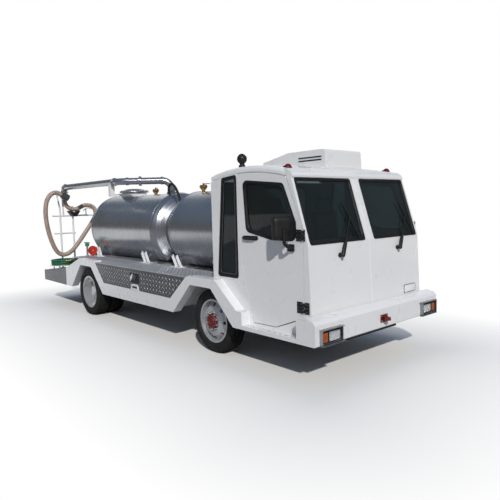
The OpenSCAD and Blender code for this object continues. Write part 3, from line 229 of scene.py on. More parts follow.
def brushed(name, colour, other, stretch, rough, bump=0.06):
    """Metal brushed along the axis that stretch leaves long."""
    n = Nodes(name)
    grain = n.noise(1.0, 4, stretch)
    n.paint(n.range(n.noise(2.2, 4)), colour, other, grain, rough)
    n.bump(grain, bump, 0.001)
    n.set(Metallic=1.0, Anisotropic=0.45)
    return n.owner


def window_glass():
    n = Nodes("window_glass")
    n.paint(n.range(n.noise(3, 3)), (0.080, 0.110, 0.114), (0.095, 0.125, 0.130), n.noise(7, 4), (0.01, 0.05))
    n.set(Transmission_Weight=0.92, IOR=1.30)
    return n.owner


def lens(name, colour, other, transmission):
    """Ridged plastic of a lamp."""
    n = Nodes(name)
    n.paint(n.range(n.noise(20, 2)), colour, other, n.noise(30, 3), (0.05, 0.14))
    n.bump(n.wave("Y", 40), 0.15)
    n.set(Transmission_Weight=transmission, IOR=1.49)
    return n.owner


def hose_plastic():
    n = Nodes("hose_plastic")
    streak = n.range(n.noise(1.0, 4, (60, 60, 6)))
    n.paint(streak, (0.29, 0.205, 0.165), (0.48, 0.375, 0.31), n.noise(25, 4), (0.28, 0.48))
    n.bump(n.noise(120, 3), 0.08)
    n.set(Subsurface_Weight=0.15, Subsurface_Radius=(0.02, 0.01, 0.008), Coat_Weight=0.2)
    return n.owner


def woven(name, colour, other):
    n = Nodes(name)
    weave = n.calc("MULTIPLY", n.wave("X", 220, 0.6), n.wave("Z", 220, 0.6))
    n.paint(n.range(weave, 0, 1, 0, 1), colour, other, n.noise(14, 3), (0.78, 0.95))
    n.bump(weave, 0.35)
    n.set(Sheen_Weight=0.25)
    return n.owner


# Maker of each finish, and the values that it takes
FINISHES = {
    "black_paint": (mottled, (0.022, 0.022, 0.024), (0.05, 0.047, 0.042), 6, (0.4, 0.65), 180, 0.1),
    "stainless": (brushed, (0.45, 0.465, 0.49), (0.40, 0.415, 0.44), (150, 2.5, 2.5), (0.25, 0.32), 0.015),
    "tread_plate": (brushed, (0.195, 0.20, 0.21), (0.145, 0.15, 0.155), (30, 30, 30), (0.34, 0.52)),
    # The deck plate is paler than the tread plate: partly its own tone, and partly painted light that makes up for
    # the cab's shadow on the deck
    "deck_plate": (mottled, (0.50, 0.505, 0.515), (0.41, 0.415, 0.425), 9, (0.36, 0.52), 240, 0.06,
                   {"Metallic": 0.3}),
    "tread_bar": (brushed, (0.58, 0.59, 0.60), (0.46, 0.47, 0.48), (40, 40, 40), (0.28, 0.44)),
    "brass": (mottled, (0.52, 0.34, 0.11), (0.34, 0.20, 0.06), 22, (0.3, 0.5), 150, 0.08, {"Metallic": 1.0}),
    "red_paint": (mottled, (0.52, 0.025, 0.02), (0.40, 0.02, 0.015), 12, (0.28, 0.45), 240, 0.06,
                  {"Coat_Weight": 0.2}),
    "hub_red": (mottled, (0.17, 0.012, 0.009), (0.12, 0.009, 0.007), 14, (0.32, 0.5), 240, 0.06),
    "green_paint": (mottled, (0.015, 0.27, 0.09), (0.01, 0.20, 0.06), 12, (0.3, 0.45), 240, 0.06),
    "black_plastic": (mottled, (0.008, 0.008, 0.008), (0.015, 0.015, 0.015), 9, (0.40, 0.58), 420, 0.2,
                      {"Specular_IOR_Level": 0.35}),
    "rubber": (mottled, (0.006, 0.006, 0.006), (0.012, 0.012, 0.012), 14, (0.45, 0.65), 260, 0.1,
               {"Specular_IOR_Level": 0.3}),
    "tyre": (mottled, (0.010, 0.010, 0.010), (0.022, 0.021, 0.020), 8, (0.62, 0.85), 200, 0.2,
             {"Specular_IOR_Level": 0.3}),
    "rim": (mottled, (0.66, 0.67, 0.685), (0.57, 0.58, 0.59), 7, (0.26, 0.40), 300, 0.05, {"Metallic": 0.7}),
    "lamp": (lens, (0.85, 0.87, 0.88), (0.78, 0.80, 0.82), 0.85),
    "amber": (lens, (0.62, 0.13, 0.012), (0.52, 0.10, 0.010), 0.35),
    "red_lamp": (lens, (0.26, 0.010, 0.008), (0.20, 0.008, 0.006), 0.3),
    "reflector": (brushed, (0.80, 0.81, 0.82), (0.72, 0.73, 0.74), (40, 40, 40), (0.08, 0.16)),
    "mirror_glass": (brushed, (0.75, 0.77, 0.78), (0.70, 0.72, 0.73), (5, 5, 5), (0.02, 0.05)),
    "steel": (mottled, (0.075, 0.075, 0.078), (0.13, 0.125, 0.12), 11, (0.45, 0.7), 160, 0.14,
              {"Metallic": 0.6}),
    "bolt": (mottled, (0.42, 0.42, 0.43), (0.30, 0.30, 0.30), 30, (0.32, 0.5), 260, 0.06, {"Metallic": 1.0}),
    "coupling": (mottled, (0.10, 0.105, 0.11), (0.16, 0.165, 0.17), 13, (0.35, 0.55), 220, 0.12,
                 {"Metallic": 0.7}),
    "green_hose": (mottled, (0.012, 0.105, 0.05), (0.02, 0.16, 0.085), 15, (0.38, 0.6), 200, 0.1),
    "trim": (mottled, (0.035, 0.036, 0.039), (0.055, 0.056, 0.06), 10, (0.55, 0.75), 380, 0.25),
    "guard": (brushed, (0.42, 0.43, 0.44), (0.34, 0.35, 0.36), (20, 20, 20), (0.3, 0.48)),
}
MATERIALS = {name: make(name, *row) for name, (make, *row) in FINISHES.items()}
MATERIALS["white_paint"] = white_paint()
MATERIALS["glass"] = window_glass()
MATERIALS["drain_hose"] = hose_plastic()
MATERIALS["seat"] = woven("seat_fabric", (0.10, 0.10, 0.105), (0.20, 0.20, 0.205))
# Nodes whose finish differs from the rest of their slot; the deck's paler finish is partly painted light
NODE_FINISH = {"deck": "deck_plate", "tow_eye": "hub_red"}
for entry in frame["record"]["subparts"]:
    shown = nodes[entry["node"]].data
    shown.materials.clear()
    shown.materials.append(MATERIALS[NODE_FINISH.get(entry["node"], entry["material_slot"])])

# Mesh helpers


def rounded(points, steps=5):
    """A closed outline whose corners [x, y, radius] are arcs."""
    out = []
    for i, (x, y, r) in enumerate(points):
        p = Vector((x, y))
        if r == 0:
            out.append(p)
            continue
        u = (Vector(points[i - 1][:2]) - p).normalized()
        w = (Vector(points[(i + 1) % len(points)][:2]) - p).normalized()
        half = u.angle(w) / 2
        centre = p + (u + w).normalized() * (r / math.sin(half))
        start = p + u * (r / math.tan(half)) - centre
        end = p + w * (r / math.tan(half)) - centre
        a0 = math.atan2(start.y, start.x)
        turn = (math.atan2(end.y, end.x) - a0 + 3 * math.pi) % (2 * math.pi) - math.pi
        for k in range(steps + 1):
            a = a0 + turn * k / steps
            out.append(centre + r * Vector((math.cos(a), math.sin(a))))
    return out


def rectangle(x0, y0, x1, y1):
    return [(x0, y0), (x1, y0), (x1, y1), (x0, y1)]


def rounded_box(x0, y0, x1, y1, r):
    return rounded([(x, y, r) for x, y in rectangle(x0, y0, x1, y1)])


def rounded_rectangle(w, h, r, x=0.0, y=0.0):
    """A rounded outline of a width and height round a middle."""
    return rounded_box(x - w / 2, y - h / 2, x + w / 2, y + h / 2, r)


def circle(middle, u, v, r, count, start=0.0):
    """Points round a circle in the plane of u and v; start is in steps."""
    turns = (2 * math.pi * (k + start) / count for k in range(count))
    return [Vector(middle) + r * (math.cos(a) * u + math.sin(a) * v) for a in turns]


def basis(axis):
    """Two unit vectors square to axis."""
    axis = axis.normalized()
    side = axis.cross(Z if abs(axis.z) < 0.9 else X).normalized()
    return side, axis.cross(side)


def add_rings(bm, rings, closed=False, caps=True):
    """Faces between rings of points, each ring going round the same way."""
    made = [[bm.verts.new(p) for p in ring] for ring in rings]
    count = len(made[0])
    pairs = list(zip(made, made[1:]))
    if closed:
        pairs.append((made[-1], made[0]))
    for a, b in pairs:
        for j in range(count):
            k = (j + 1) % count
            bm.faces.new((a[j], a[k], b[k], b[j]))
    if caps and not closed:
        bm.faces.new(reversed(made[0]))
        bm.faces.new(made[-1])


def add_loft(bm, outline, place, profile, closed=False):
    """A skin over an outline's copies, from (growth of the outline, height on place) pairs."""
    rings = []
    for grow, h in profile:
        rings.append([place(p, h) if callable(place) else place @ Vector((*p, h)) for p in outline(grow)])
    add_rings(bm, rings, closed)


def tube_rings(path, radii, sides, closed=False):
    """Rings along a path, turned as little as possible from one to the next."""
    count = len(path)
    side = None
    rings = []
    for i, p in enumerate(path):
        ahead = path[(i + 1) % count] if closed else path[min(i + 1, count - 1)]
        behind = path[i - 1] if closed or i else path[0]
        t = (ahead - behind).normalized()
        side = basis(t)[0] if side is None else (side - t * side.dot(t)).normalized()
        rings.append(circle(p, side, t.cross(side), radii[i] if isinstance(radii, list) else radii, sides))
    return rings


def add_tube(bm, path, r, sides=12, closed=False):
    add_rings(bm, tube_rings([Vector(p) for p in path], r, sides, closed), closed)


def add_lathe(bm, profile, at, axis, sides=32):
    """A turned solid from (radius, distance along axis) pairs; its ends are capped."""
    side, up = basis(axis)
    axis = axis.normalized()
    add_rings(bm, [circle(Vector(at) + axis * d, side, up, max(r, 1e-5), sides) for r, d in profile])


def band(edge_r, r, half, flat):
    """Section of a band for add_lathe: its radius, with half its width and half of its flat's."""
    return [(edge_r, -half), (r, -flat), (r, flat), (edge_r, half)]


def add_bolt(bm, at, axis, r):
    """A washer with a hexagon head and a slightly domed top."""
    add_lathe(bm, [(r * 1.25, -0.001), (r * 1.25, r * 0.18), (r * 1.15, r * 0.25)], at, axis, 14)
    add_lathe(bm, [(r, r * 0.2), (r, r * 0.8), (r * 0.86, r * 0.98), (r * 0.4, r * 1.02)], at, axis, 6)


def add_box(bm, low, high, bevel=0.0, turn=None):
    """A box between two corners with rounded edges; turn moves it into place."""
    low, high = Vector(low), Vector(high)
    size = high - low
    place = Matrix.Translation((low + high) / 2) @ Matrix.Diagonal((*size, 1))
    made = bmesh.ops.create_cube(bm, size=1, matrix=place)
    verts = made["verts"]
    if bevel:
        edges = list({e for v in verts for e in v.link_edges})
        cut = bmesh.ops.bevel(bm, geom=edges, offset=bevel, segments=2, affect="EDGES", profile=0.7)
        verts = list({v for f in cut["faces"] for v in f.verts} | {v for v in verts if v.is_valid})
    if turn is not None:
        bmesh.ops.transform(bm, matrix=turn, verts=verts)


def add_prism(bm, outline, place, low, high, bevel=0.0):
    """An outline of 2-D points, drawn out between two heights of place's third axis."""
    add_loft(bm, lambda _: outline, place, ((0, low), (0, high)))
    if bevel:
        bm.faces.ensure_lookup_table()
        edges = list({e for f in (bm.faces[-1], bm.faces[-2]) for e in f.edges})
        bmesh.ops.bevel(bm, geom=edges, offset=bevel, segments=2, affect="EDGES", profile=0.7)


def box_at_side(bm, sign, x0, x1, y0, y1, z0, z1, bevel):
    low_y, high_y = sorted((sign * y0, sign * y1))
    add_box(bm, (x0, low_y, z0), (x1, high_y, z1), bevel)


def piece(name, bm, material, body="chassis", smooth=40):
    bmesh.ops.recalc_face_normals(bm, faces=bm.faces)
    mesh = bpy.data.meshes.new(name)
    bm.to_mesh(mesh)
    bm.free()
    mesh.materials.append(MATERIALS[material])
    mesh.shade_smooth()
    mesh.set_sharp_from_angle(angle=math.radians(smooth))
    obj = bpy.data.objects.new(name, mesh)
    bpy.context.scene.collection.objects.link(obj)
    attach(obj, body)
    return obj


def plane(u, v, out, at=(0, 0, 0)):
    """Place of an outline: its two axes, the way out of it and its origin."""
    return Matrix.Translation(at) @ Matrix((u, v, out)).transposed().to_4x4()


def side_plane(y, sign):
    """Outline plane in X and Z at a side of the truck; its third axis points outward."""
    return plane(X, Z, Y * sign, Y * (sign * y))


def smooth_path(points, step):
    """Points a step apart along a smooth curve through the given ones."""
    pts = [Vector(p) for p in points]
    fine = []
    for i in range(len(pts) - 1):
        p0, p1, p2, p3 = pts[max(i - 1, 0)], pts[i], pts[i + 1], pts[min(i + 2, len(pts) - 1)]
        for k in range(24):
            t = k / 24
            fine.append(0.5 * (2 * p1 + (p2 - p0) * t + (2 * p0 - 5 * p1 + 4 * p2 - p3) * t * t
                               + (3 * p1 - p0 - 3 * p2 + p3) * t ** 3))
    fine.append(pts[-1])
    out = [fine[0]]
    left = step
    for a, b in zip(fine, fine[1:]):
        gap = (b - a).length
        while gap >= left:
            a = a + (b - a) * (left / gap)
            out.append(a.copy())
            gap -= left
            left = step
        left -= gap
    if (fine[-1] - out[-1]).length > step / 3:
        out.append(fine[-1])
    else:
        out[-1] = fine[-1]
    return out


# Cords

DRAIN_R = 0.043
# Forward shift from the pipe's collar, y and z, as in the part's source
DRAIN_ROUTE = [
    (0, -0.665, 1.960), (0, -0.665, 1.900), (0, -0.650, 1.838), (0, -0.607, 1.785), (0, -0.545, 1.752),
    (0, -0.480, 1.744), (0, -0.410, 1.758), (0, -0.345, 1.790), (0, -0.280, 1.816), (0, -0.205, 1.817),
    (0, -0.130, 1.798), (0, -0.075, 1.750), (0, -0.052, 1.680), (0, -0.062, 1.605), (0, -0.105, 1.525),
    (0, -0.170, 1.430), (0, -0.245, 1.330), (0, -0.325, 1.225), (0, -0.410, 1.115), (0, -0.495, 1.015),
    (0, -0.580, 0.930), (0, -0.670, 0.880), (0, -0.760, 0.872), (0.005, -0.840, 0.910),
    (0.015, -0.900, 0.985), (0.030, -0.950, 1.090), (0.048, -0.995, 1.215), (0.066, -1.032, 1.350),
    (0.084, -1.060, 1.490), (0.100, -1.076, 1.630), (0.120, -1.078, 1.760), (0.135, -1.062, 1.880),
    (0.145, -1.015, 1.985), (0.145, -0.940, 2.050), (0.145, -0.855, 2.062), (0.145, -0.780, 2.025)]
RIB_PITCH = 0.016
RIB_H = 0.0035


def make_drain_hose():
    route = smooth_path([(hose_x + dx, y, z) for dx, y, z in DRAIN_ROUTE], RIB_PITCH / 4)
    ribs = [DRAIN_R - RIB_H * (0.5 - 0.5 * math.cos(2 * math.pi * i / 4)) for i in range(len(route))]
    bm = bmesh.new()
    add_tube(bm, route, ribs, 20)
    hose = piece("drain_hose_ribbed", bm, "drain_hose", smooth=60)
    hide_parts("drain_hose")


RINSE_R = 0.012
RINSE_PITCH = 0.0248
RINSE_LAYERS = 4
RINSE_COLUMNS = 4
RINSE_STEPS = 28


def rinse_route():
    """Layers of a flat spiral, wound in and out by turns from the outside of the lowest one."""
    low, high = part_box("rinse_hose")
    centre = (low + high) / 2
    outer = (high.x - low.x) / 2 - RINSE_R - 0.002
    inner = outer - RINSE_PITCH * (RINSE_COLUMNS - 1)
    points = []
    per_layer = RINSE_COLUMNS * RINSE_STEPS
    for layer in range(RINSE_LAYERS):
        for k in range(per_layer):
            part = k / (per_layer - 1)
            swing = part if layer % 2 == 0 else 1 - part
            r = outer + (inner - outer) * swing
            lift = max(0.0, (part - 0.93) / 0.07) if layer < RINSE_LAYERS - 1 else 0.0
            a = 2 * math.pi * (layer * RINSE_COLUMNS + part * (RINSE_COLUMNS - 1 / RINSE_STEPS))
            z = low.z + RINSE_R + 0.001 + RINSE_PITCH * (layer + 0.5 * lift * lift)
            points.append(Vector((centre.x + r * math.cos(a), centre.y + r * math.sin(a), z)))
    return points


def make_rinse_hose():
    route = rinse_route()
    bm = bmesh.new()
    add_tube(bm, route, RINSE_R, 10)
    hose = piece("rinse_hose_coil", bm, "green_hose", smooth=60)
    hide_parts("rinse_hose")
    ahead = (route[-1] - route[-2]).normalized()
    bm = bmesh.new()
    add_lathe(bm, [(0.010, -0.01), (0.017, -0.004), (0.017, 0.03), (0.013, 0.034), (0.013, 0.075),
                   (0.018, 0.08), (0.020, 0.10), (0.016, 0.104)], route[-1], ahead, 18)
    nozzle = piece("rinse_nozzle", bm, "brass")


# Wheels

BEAD_R = 0.248
TYRE_HALF = 0.1125
TREAD_H = 0.011
TREAD_RIBS = ((-0.088, -0.058), (-0.049, -0.017), (-0.009, 0.009), (0.017, 0.049), (0.058, 0.088))
TREAD_STEPS = 58
# Where a block starts and ends in its step, and how far its sides slant
BLOCK_SHARE = (0.07, 0.93)
BLOCK_SKEW = 0.12
# Half of the sidewall's section: radius, distance from the middle
SIDEWALL = [(BEAD_R + 0.001, 0.082), (BEAD_R + 0.014, 0.0825), (BEAD_R + 0.022, 0.094),
            (BEAD_R + 0.034, 0.104), (BEAD_R + 0.036, 0.1065), (BEAD_R + 0.041, 0.1068),
            (BEAD_R + 0.044, 0.1075), (BEAD_R + 0.066, 0.1122), (BEAD_R + 0.070, TYRE_HALF),
            (BEAD_R + 0.076, TYRE_HALF), (BEAD_R + 0.080, 0.1112), (tyre_r - 0.036, 0.1075),
            (tyre_r - 0.033, 0.1085), (tyre_r - 0.022, 0.1055), (tyre_r - 0.019, 0.1025),
            (tyre_r - TREAD_H, 0.0945)]


def add_tyre(bm, centre):
    """Carcass with rings on its sides, and a tread of five rows of blocks."""
    profile = [(r, -d) for r, d in SIDEWALL] + [(r, d) for r, d in reversed(SIDEWALL)]
    outward = circle((0, 0, 0), X, Z, 1, 96)
    add_rings(bm, [[centre + out * r + Y * d for r, d in profile] for out in outward], closed=True)
    step = 2 * math.pi / TREAD_STEPS
    for row, (y0, y1) in enumerate(TREAD_RIBS):
        for k in range(TREAD_STEPS):
            a0, a1 = (step * (k + 0.5 * (row % 2) + share) for share in BLOCK_SHARE)
            skew = BLOCK_SKEW * step
            corners = ((a0, y0), (a1, y0), (a1 + skew, y1), (a0 + skew, y1))
            add_rings(bm, [[centre + Vector((math.cos(a) * r, y, math.sin(a) * r)) for a, y in corners]
                           for r in (tyre_r - TREAD_H - 0.002, tyre_r - 0.0002)])


# Wheel nuts: radius of their circle, distance out, and the valve stem's distance out
NUTS = {"front": (0.101, 0.096, 0.06), "rear": (0.143, 0.014, 0.11)}
# Middle of each wheel: piece, material, section, and its screws' distance out, circle and size
HUBS = {
    "front": ("hub_cap", "hub_red",
              [(0.083, 0.090), (0.0845, 0.092), (0.0845, 0.120), (0.080, 0.125), (0.056, 0.1255),
               (0.052, 0.132), (0.048, 0.134), (0.040, 0.1345), (0.037, 0.130), (0.001, 0.130)],
              0.1248, 0.068, 0.008),
    "rear": ("axle_flange", "rim",
             [(0.079, 0.052), (0.0795, 0.146), (0.074, 0.1525), (0.058, 0.154), (0.054, 0.160),
              (0.001, 0.161)],
             0.1525, 0.066, 0.006)}


def make_wheels():
    for name, sign in SIDES:
        for end, axle, twins in (("front", front_axle, (0,)), ("rear", rear_axle, (-0.127, 0.127))):
            body = f"wheel_{end}_{name}"
            centre = Vector((axle.x, sign * axle.y, axle.z))
            bm = bmesh.new()
            for shift in twins:
                add_tyre(bm, centre + Y * shift)
            tyre = piece(f"tyre_{end}_{name}_tread", bm, "tyre", body)
            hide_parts(f"tyre_{end}_{name}")
            out = Y * sign
            nut_r, nut_d, stem_d = NUTS[end]
            bm = bmesh.new()
            for at in circle(centre + out * nut_d, X, Z, nut_r, 10, 0.5):
                add_lathe(bm, [(0.0165, -0.001), (0.0165, 0.004), (0.0135, 0.006)], at, out, 16)
                add_lathe(bm, [(0.0135, 0.004), (0.0135, 0.022), (0.009, 0.028), (0.008, 0.036),
                               (0.006, 0.037)], at, out, 6)
            stem = centre + out * stem_d + Z * (BEAD_R - 0.028)
            add_tube(bm, [stem + Z * 0.03 - out * 0.03, stem, stem + out * 0.03 - Z * 0.006], 0.005, 8)
            piece(f"wheel_nuts_{end}_{name}", bm, "bolt", body)
            label, material, profile, screw_d, screw_circle, screw_r = HUBS[end]
            bm = bmesh.new()
            add_lathe(bm, profile, centre, out, 40)
            for at in circle(centre + out * screw_d, X, Z, screw_circle, 8):
                add_bolt(bm, at, out, screw_r)
            piece(f"{label}_{name}", bm, material, body)


# Tread plate

# Raised bars: size, spacing, and turn in degrees
BAR_LEN = 0.046
BAR_W = 0.013
BAR_H = 0.0030
BAR_PITCH = 0.060
COLUMN_PITCH = 0.040
BAR_TURN = 52


def inside(p, outline):
    hit = False
    for a, b in zip(outline, outline[1:] + outline[:1]):
        if (a[1] > p[1]) != (b[1] > p[1]) and p[0] < (b[0] - a[0]) * (p[1] - a[1]) / (b[1] - a[1]) + a[0]:
            hit = not hit
    return hit


def add_tread(bm, outline, place):
    """Raised bars on a plate, turned by turns to either side, wherever a whole bar fits the outline."""
    xs = [p[0] for p in outline]
    ys = [p[1] for p in outline]
    columns = int((max(xs) - min(xs)) / COLUMN_PITCH)
    rows = int((max(ys) - min(ys)) / BAR_PITCH)
    for i in range(columns + 1):
        for j in range(rows + 1):
            cx = min(xs) + (i + 0.5) * COLUMN_PITCH
            cy = min(ys) + (j + 0.5 * (i % 2)) * BAR_PITCH
            a = math.radians(BAR_TURN if i % 2 else -BAR_TURN)
            along = Vector((math.cos(a), math.sin(a), 0))
            across = Vector((-along.y, along.x, 0))
            mid = Vector((cx, cy, 0))
            ends = [mid + along * (s * BAR_LEN / 2) for s in (-1, 1)]
            if not all(inside((e.x, e.y), outline) for e in ends):
                continue
            base = [ends[0], mid - across * (BAR_W / 2), ends[1], mid + across * (BAR_W / 2)]
            top = [mid + (b - mid) * 0.55 + Z * BAR_H for b in base]
            base = [b - Z * 0.0004 for b in base]
            add_rings(bm, [[place @ b for b in base], [place @ t for t in top]], caps=False)
            bm.faces.new([bm.verts.new(place @ t) for t in top])


# Heights of the sloped rear platform at its two ends
PLATFORM_Z = (0.598, 0.716)
platform_x = rear_x - 0.851
platform_rise = (PLATFORM_Z[1] - PLATFORM_Z[0]) / (platform_x - tail_x)


def make_tread():
    top = deck_z - 0.012
    panel = [(rear_x + 0.380, top), (rear_x + 0.660, 0.604), (front_x - 0.650, 0.604), (front_x - 0.300, top)]
    tail = [(platform_x - 0.006, 0.708), (platform_x - 0.006, 0.420), (tail_x + 0.030, 0.420),
            (tail_x + 0.030, 0.594)]
    for name, sign in SIDES:
        bm = bmesh.new()
        for outline in (panel, tail):
            add_tread(bm, outline, side_plane(half_w, sign))
        piece(f"tread_side_{name}", bm, "tread_bar")
        bm = bmesh.new()
        for x0, x1, y in ((rear_x + 0.385, front_x - 0.305, half_w),
                          (rear_x - 0.845, rear_x + 0.375, cab_half)):
            low_y, high_y = sorted((sign * 0.565, sign * (y - 0.006)))
            add_tread(bm, rectangle(x0, low_y, x1, high_y), Matrix.Translation(Z * deck_z))
        piece(f"tread_deck_{name}", bm, "tread_bar")
    tilt = Matrix.Rotation(-math.atan(platform_rise), 4, "Y")
    place = Matrix.Translation((tail_x, 0, PLATFORM_Z[0])) @ tilt
    bm = bmesh.new()
    add_tread(bm, rectangle(0.03, -half_w + 0.04, 1.05, half_w - 0.04), place)
    piece("tread_platform", bm, "tread_bar")


# Cab trim


def front_at(y, z, lift=0.0):
    """A point on the nose panel or on the screens' plane, stood off forward by lift."""
    if z < screen_z:
        x = screen_foot_x + (nose_foot_x - screen_foot_x) * (screen_z - z) / (screen_z - nose_foot_z)
    else:
        x = screen_foot_x - screen_rake * (z - screen_z) / (header_z - screen_z)
    return Vector((x - abs(y) * crease + lift, y, z))


def screen_outline(grow):
    foot = grow if grow > 0 else 1.9 * grow
    return rounded_box(0.088 - grow, 1.365 - foot, 0.905 + grow, 1.983 + grow, 0.024)


def door_window(grow):
    return rounded([(door_rear_x + 0.092 - grow, 1.994 + grow, 0.060),
                    (door_rear_x + 0.135 - grow, 1.478 - grow, 0.070),
                    (door_rear_x + 0.515, 1.400 - grow, 0.060),
                    (door_front_x - 0.092 + grow, 1.400 - grow, 0.070),
                    (door_front_x - 0.096 + grow, 1.555 + grow, 0.060),
                    (door_top_x - 0.044 + grow, 1.937 + grow, 0.060)])


def quarter_window(grow):
    return rounded([(cab_rear_x + 0.100 - grow, 0.960 - grow, 0.034),
                    (door_rear_x - 0.030 + grow, 0.960 - grow, 0.034),
                    (door_rear_x - 0.030 + grow, 2.060 + grow, 0.034),
                    (cab_rear_x + 0.205 - grow, 2.036 + grow, 0.034)])


def rear_window(grow):
    return rounded_box(-0.620 - grow, 1.500 - grow, 0.620 + grow, 1.950 + grow, 0.045)


SCREEN_SECTION = [(0.013, -0.001), (0.012, 0.005), (0.006, 0.008), (-0.004, 0.007), (-0.012, 0.001),
                  (-0.019, -0.006), (-0.019, -0.0115), (-0.0005, -0.0115)]
DOOR_SECTION = [(0.013, -0.001), (0.012, 0.004), (0.004, 0.0065), (-0.008, 0.005), (-0.016, -0.004),
                (-0.019, -0.0175), (-0.0005, -0.0175)]
QUARTER_SECTION = [(0.011, -0.001), (0.010, 0.003), (-0.004, 0.005), (-0.018, 0.003), (-0.030, -0.006),
                   (-0.031, -0.0135), (-0.0005, -0.0135)]
LINE_SECTION = [(-0.030, -0.008), (-0.030, -0.0045), (-0.033, -0.0045), (-0.033, -0.008)]
REAR_SECTION = [(0.014, -0.001), (0.012, 0.005), (-0.002, 0.007), (-0.014, 0.001), (-0.018, -0.0165),
                (-0.0005, -0.0165)]


def make_gaskets():
    bm = bmesh.new()
    for _, sign in SIDES:
        add_loft(bm, screen_outline, lambda p, h: front_at(sign * p[0], p[1], h), SCREEN_SECTION, True)
    piece("screen_gaskets", bm, "rubber")
    for name, sign in SIDES:
        for label, outline, section, material, body in (
                ("door_gasket", door_window, DOOR_SECTION, "rubber", f"door_{name}"),
                ("quarter_gasket", quarter_window, QUARTER_SECTION, "rubber", "chassis"),
                ("quarter_line", quarter_window, LINE_SECTION, "guard", "chassis")):
            bm = bmesh.new()
            add_loft(bm, outline, side_plane(cab_half, sign), section, True)
            piece(f"{label}_{name}", bm, material, body)
    bm = bmesh.new()
    add_loft(bm, rear_window, lambda p, h: Vector((cab_rear_x - h, p[0], p[1])), REAR_SECTION, True)
    piece("rear_gasket", bm, "rubber")


HINGE_Z = (0.758, 1.447)
HINGE_H = 0.110
HINGE_LEAF = 0.085
POST_LEAF = (0.070, 0.027)
BARREL_R = 0.011
HINGE_GAP = 0.016
HINGE_T = 0.006
# How far the post's leaf stands past the solid under it
POST_COVER = 0.0008
hinge_x = door_front_x + 0.003
hinge_y = cab_half + BARREL_R + 0.001


def add_hinge_leaf(bm, bolts, sign, x0, x1, z, cover):
    """A leaf with rounded edges and its screws; cover is how far it stands past the solid under it."""
    box_at_side(bm, sign, x0 - cover, x1 + cover, cab_half - 0.001, cab_half + HINGE_T + cover,
                z - HINGE_H / 2 - cover, z + HINGE_H / 2 + cover, 0.002)
    columns = [(x0 + x1) / 2] if x1 - x0 < 0.04 else [x0 + 0.014, x1 - 0.014]
    for x in columns:
        for dz in (-0.036, 0, 0.036):
            add_bolt(bolts, (x, sign * (cab_half + HINGE_T + cover), z + dz), Y * sign, 0.0062)


handle_x = door_rear_x + 0.080
HANDLE_LEN = 0.220
HANDLE_Z = 1.400
# Distance along the handle, distance out from the door
HANDLE_BOW = ((0.018, 0.002), (0.020, 0.020), (0.034, 0.030), (0.110, 0.033), (0.186, 0.030),
              (0.200, 0.020), (0.202, 0.002))
mirror_x = door_front_x - 0.165
MIRROR_Z = 1.515
MIRROR_ARM_Z = 1.325
mirror_y = cab_half + 0.120
MIRROR_TOE = math.radians(20)
MIRROR_W = 0.178
MIRROR_H = 0.222
# Share of the head's full outline, distance ahead of its middle
MIRROR_SHELL = [(0.93, -0.028), (0.985, -0.026), (1.0, -0.020), (1.0, 0.004), (0.95, 0.018), (0.86, 0.027),
                (0.72, 0.0325), (0.5, 0.034)]
MIRROR_GLASS = [(0.90, -0.0278), (0.90, -0.0292), (0.88, -0.0298)]


def add_mirror(shell, glass, sign):
    toe = Matrix.Rotation(sign * MIRROR_TOE, 4, "Z")
    turn = Matrix.Translation((mirror_x, sign * mirror_y, MIRROR_Z)) @ toe
    outline = rounded_rectangle(MIRROR_W, MIRROR_H, 0.034)
    for bm, section in ((shell, MIRROR_SHELL), (glass, MIRROR_GLASS)):
        add_loft(bm, lambda share: [p * share for p in outline], lambda p, d: turn @ Vector((d, *p)), section)
    arm_x = mirror_x + 0.040
    arm = [(arm_x, sign * y, z) for y, z in
           ((cab_half + 0.012, MIRROR_ARM_Z), (cab_half + 0.055, MIRROR_ARM_Z + 0.010),
            (mirror_y - 0.018, MIRROR_ARM_Z + 0.034), (mirror_y, MIRROR_ARM_Z + 0.070), (mirror_y, MIRROR_Z))]
    add_tube(shell, smooth_path(arm, 0.012), 0.017, 14)
    box_at_side(shell, sign, mirror_x - 0.020, mirror_x + 0.060, cab_half - 0.001, cab_half + 0.022,
                MIRROR_ARM_Z - 0.035, MIRROR_ARM_Z + 0.035, 0.008)


def add_handle(bm, sign):
    """A pull bar that bows out from two feet, on a long plate with a lock."""
    wall = side_plane(cab_half, sign)
    middle = handle_x + HANDLE_LEN / 2
    plate = rounded_rectangle(HANDLE_LEN + 0.016, 0.046, 0.020, middle, HANDLE_Z)
    add_prism(bm, plate, wall, -0.001, 0.006, 0.002)
    bow = [wall @ Vector((handle_x + dx, HANDLE_Z, h)) for dx, h in HANDLE_BOW]
    add_tube(bm, smooth_path(bow, 0.008), 0.0085, 12)
    lock = wall @ Vector((handle_x - 0.002, HANDLE_Z, 0.004))
    add_lathe(bm, [(0.0145, 0.0), (0.0145, 0.006), (0.012, 0.009), (0.004, 0.0095)], lock, Y * sign, 20)


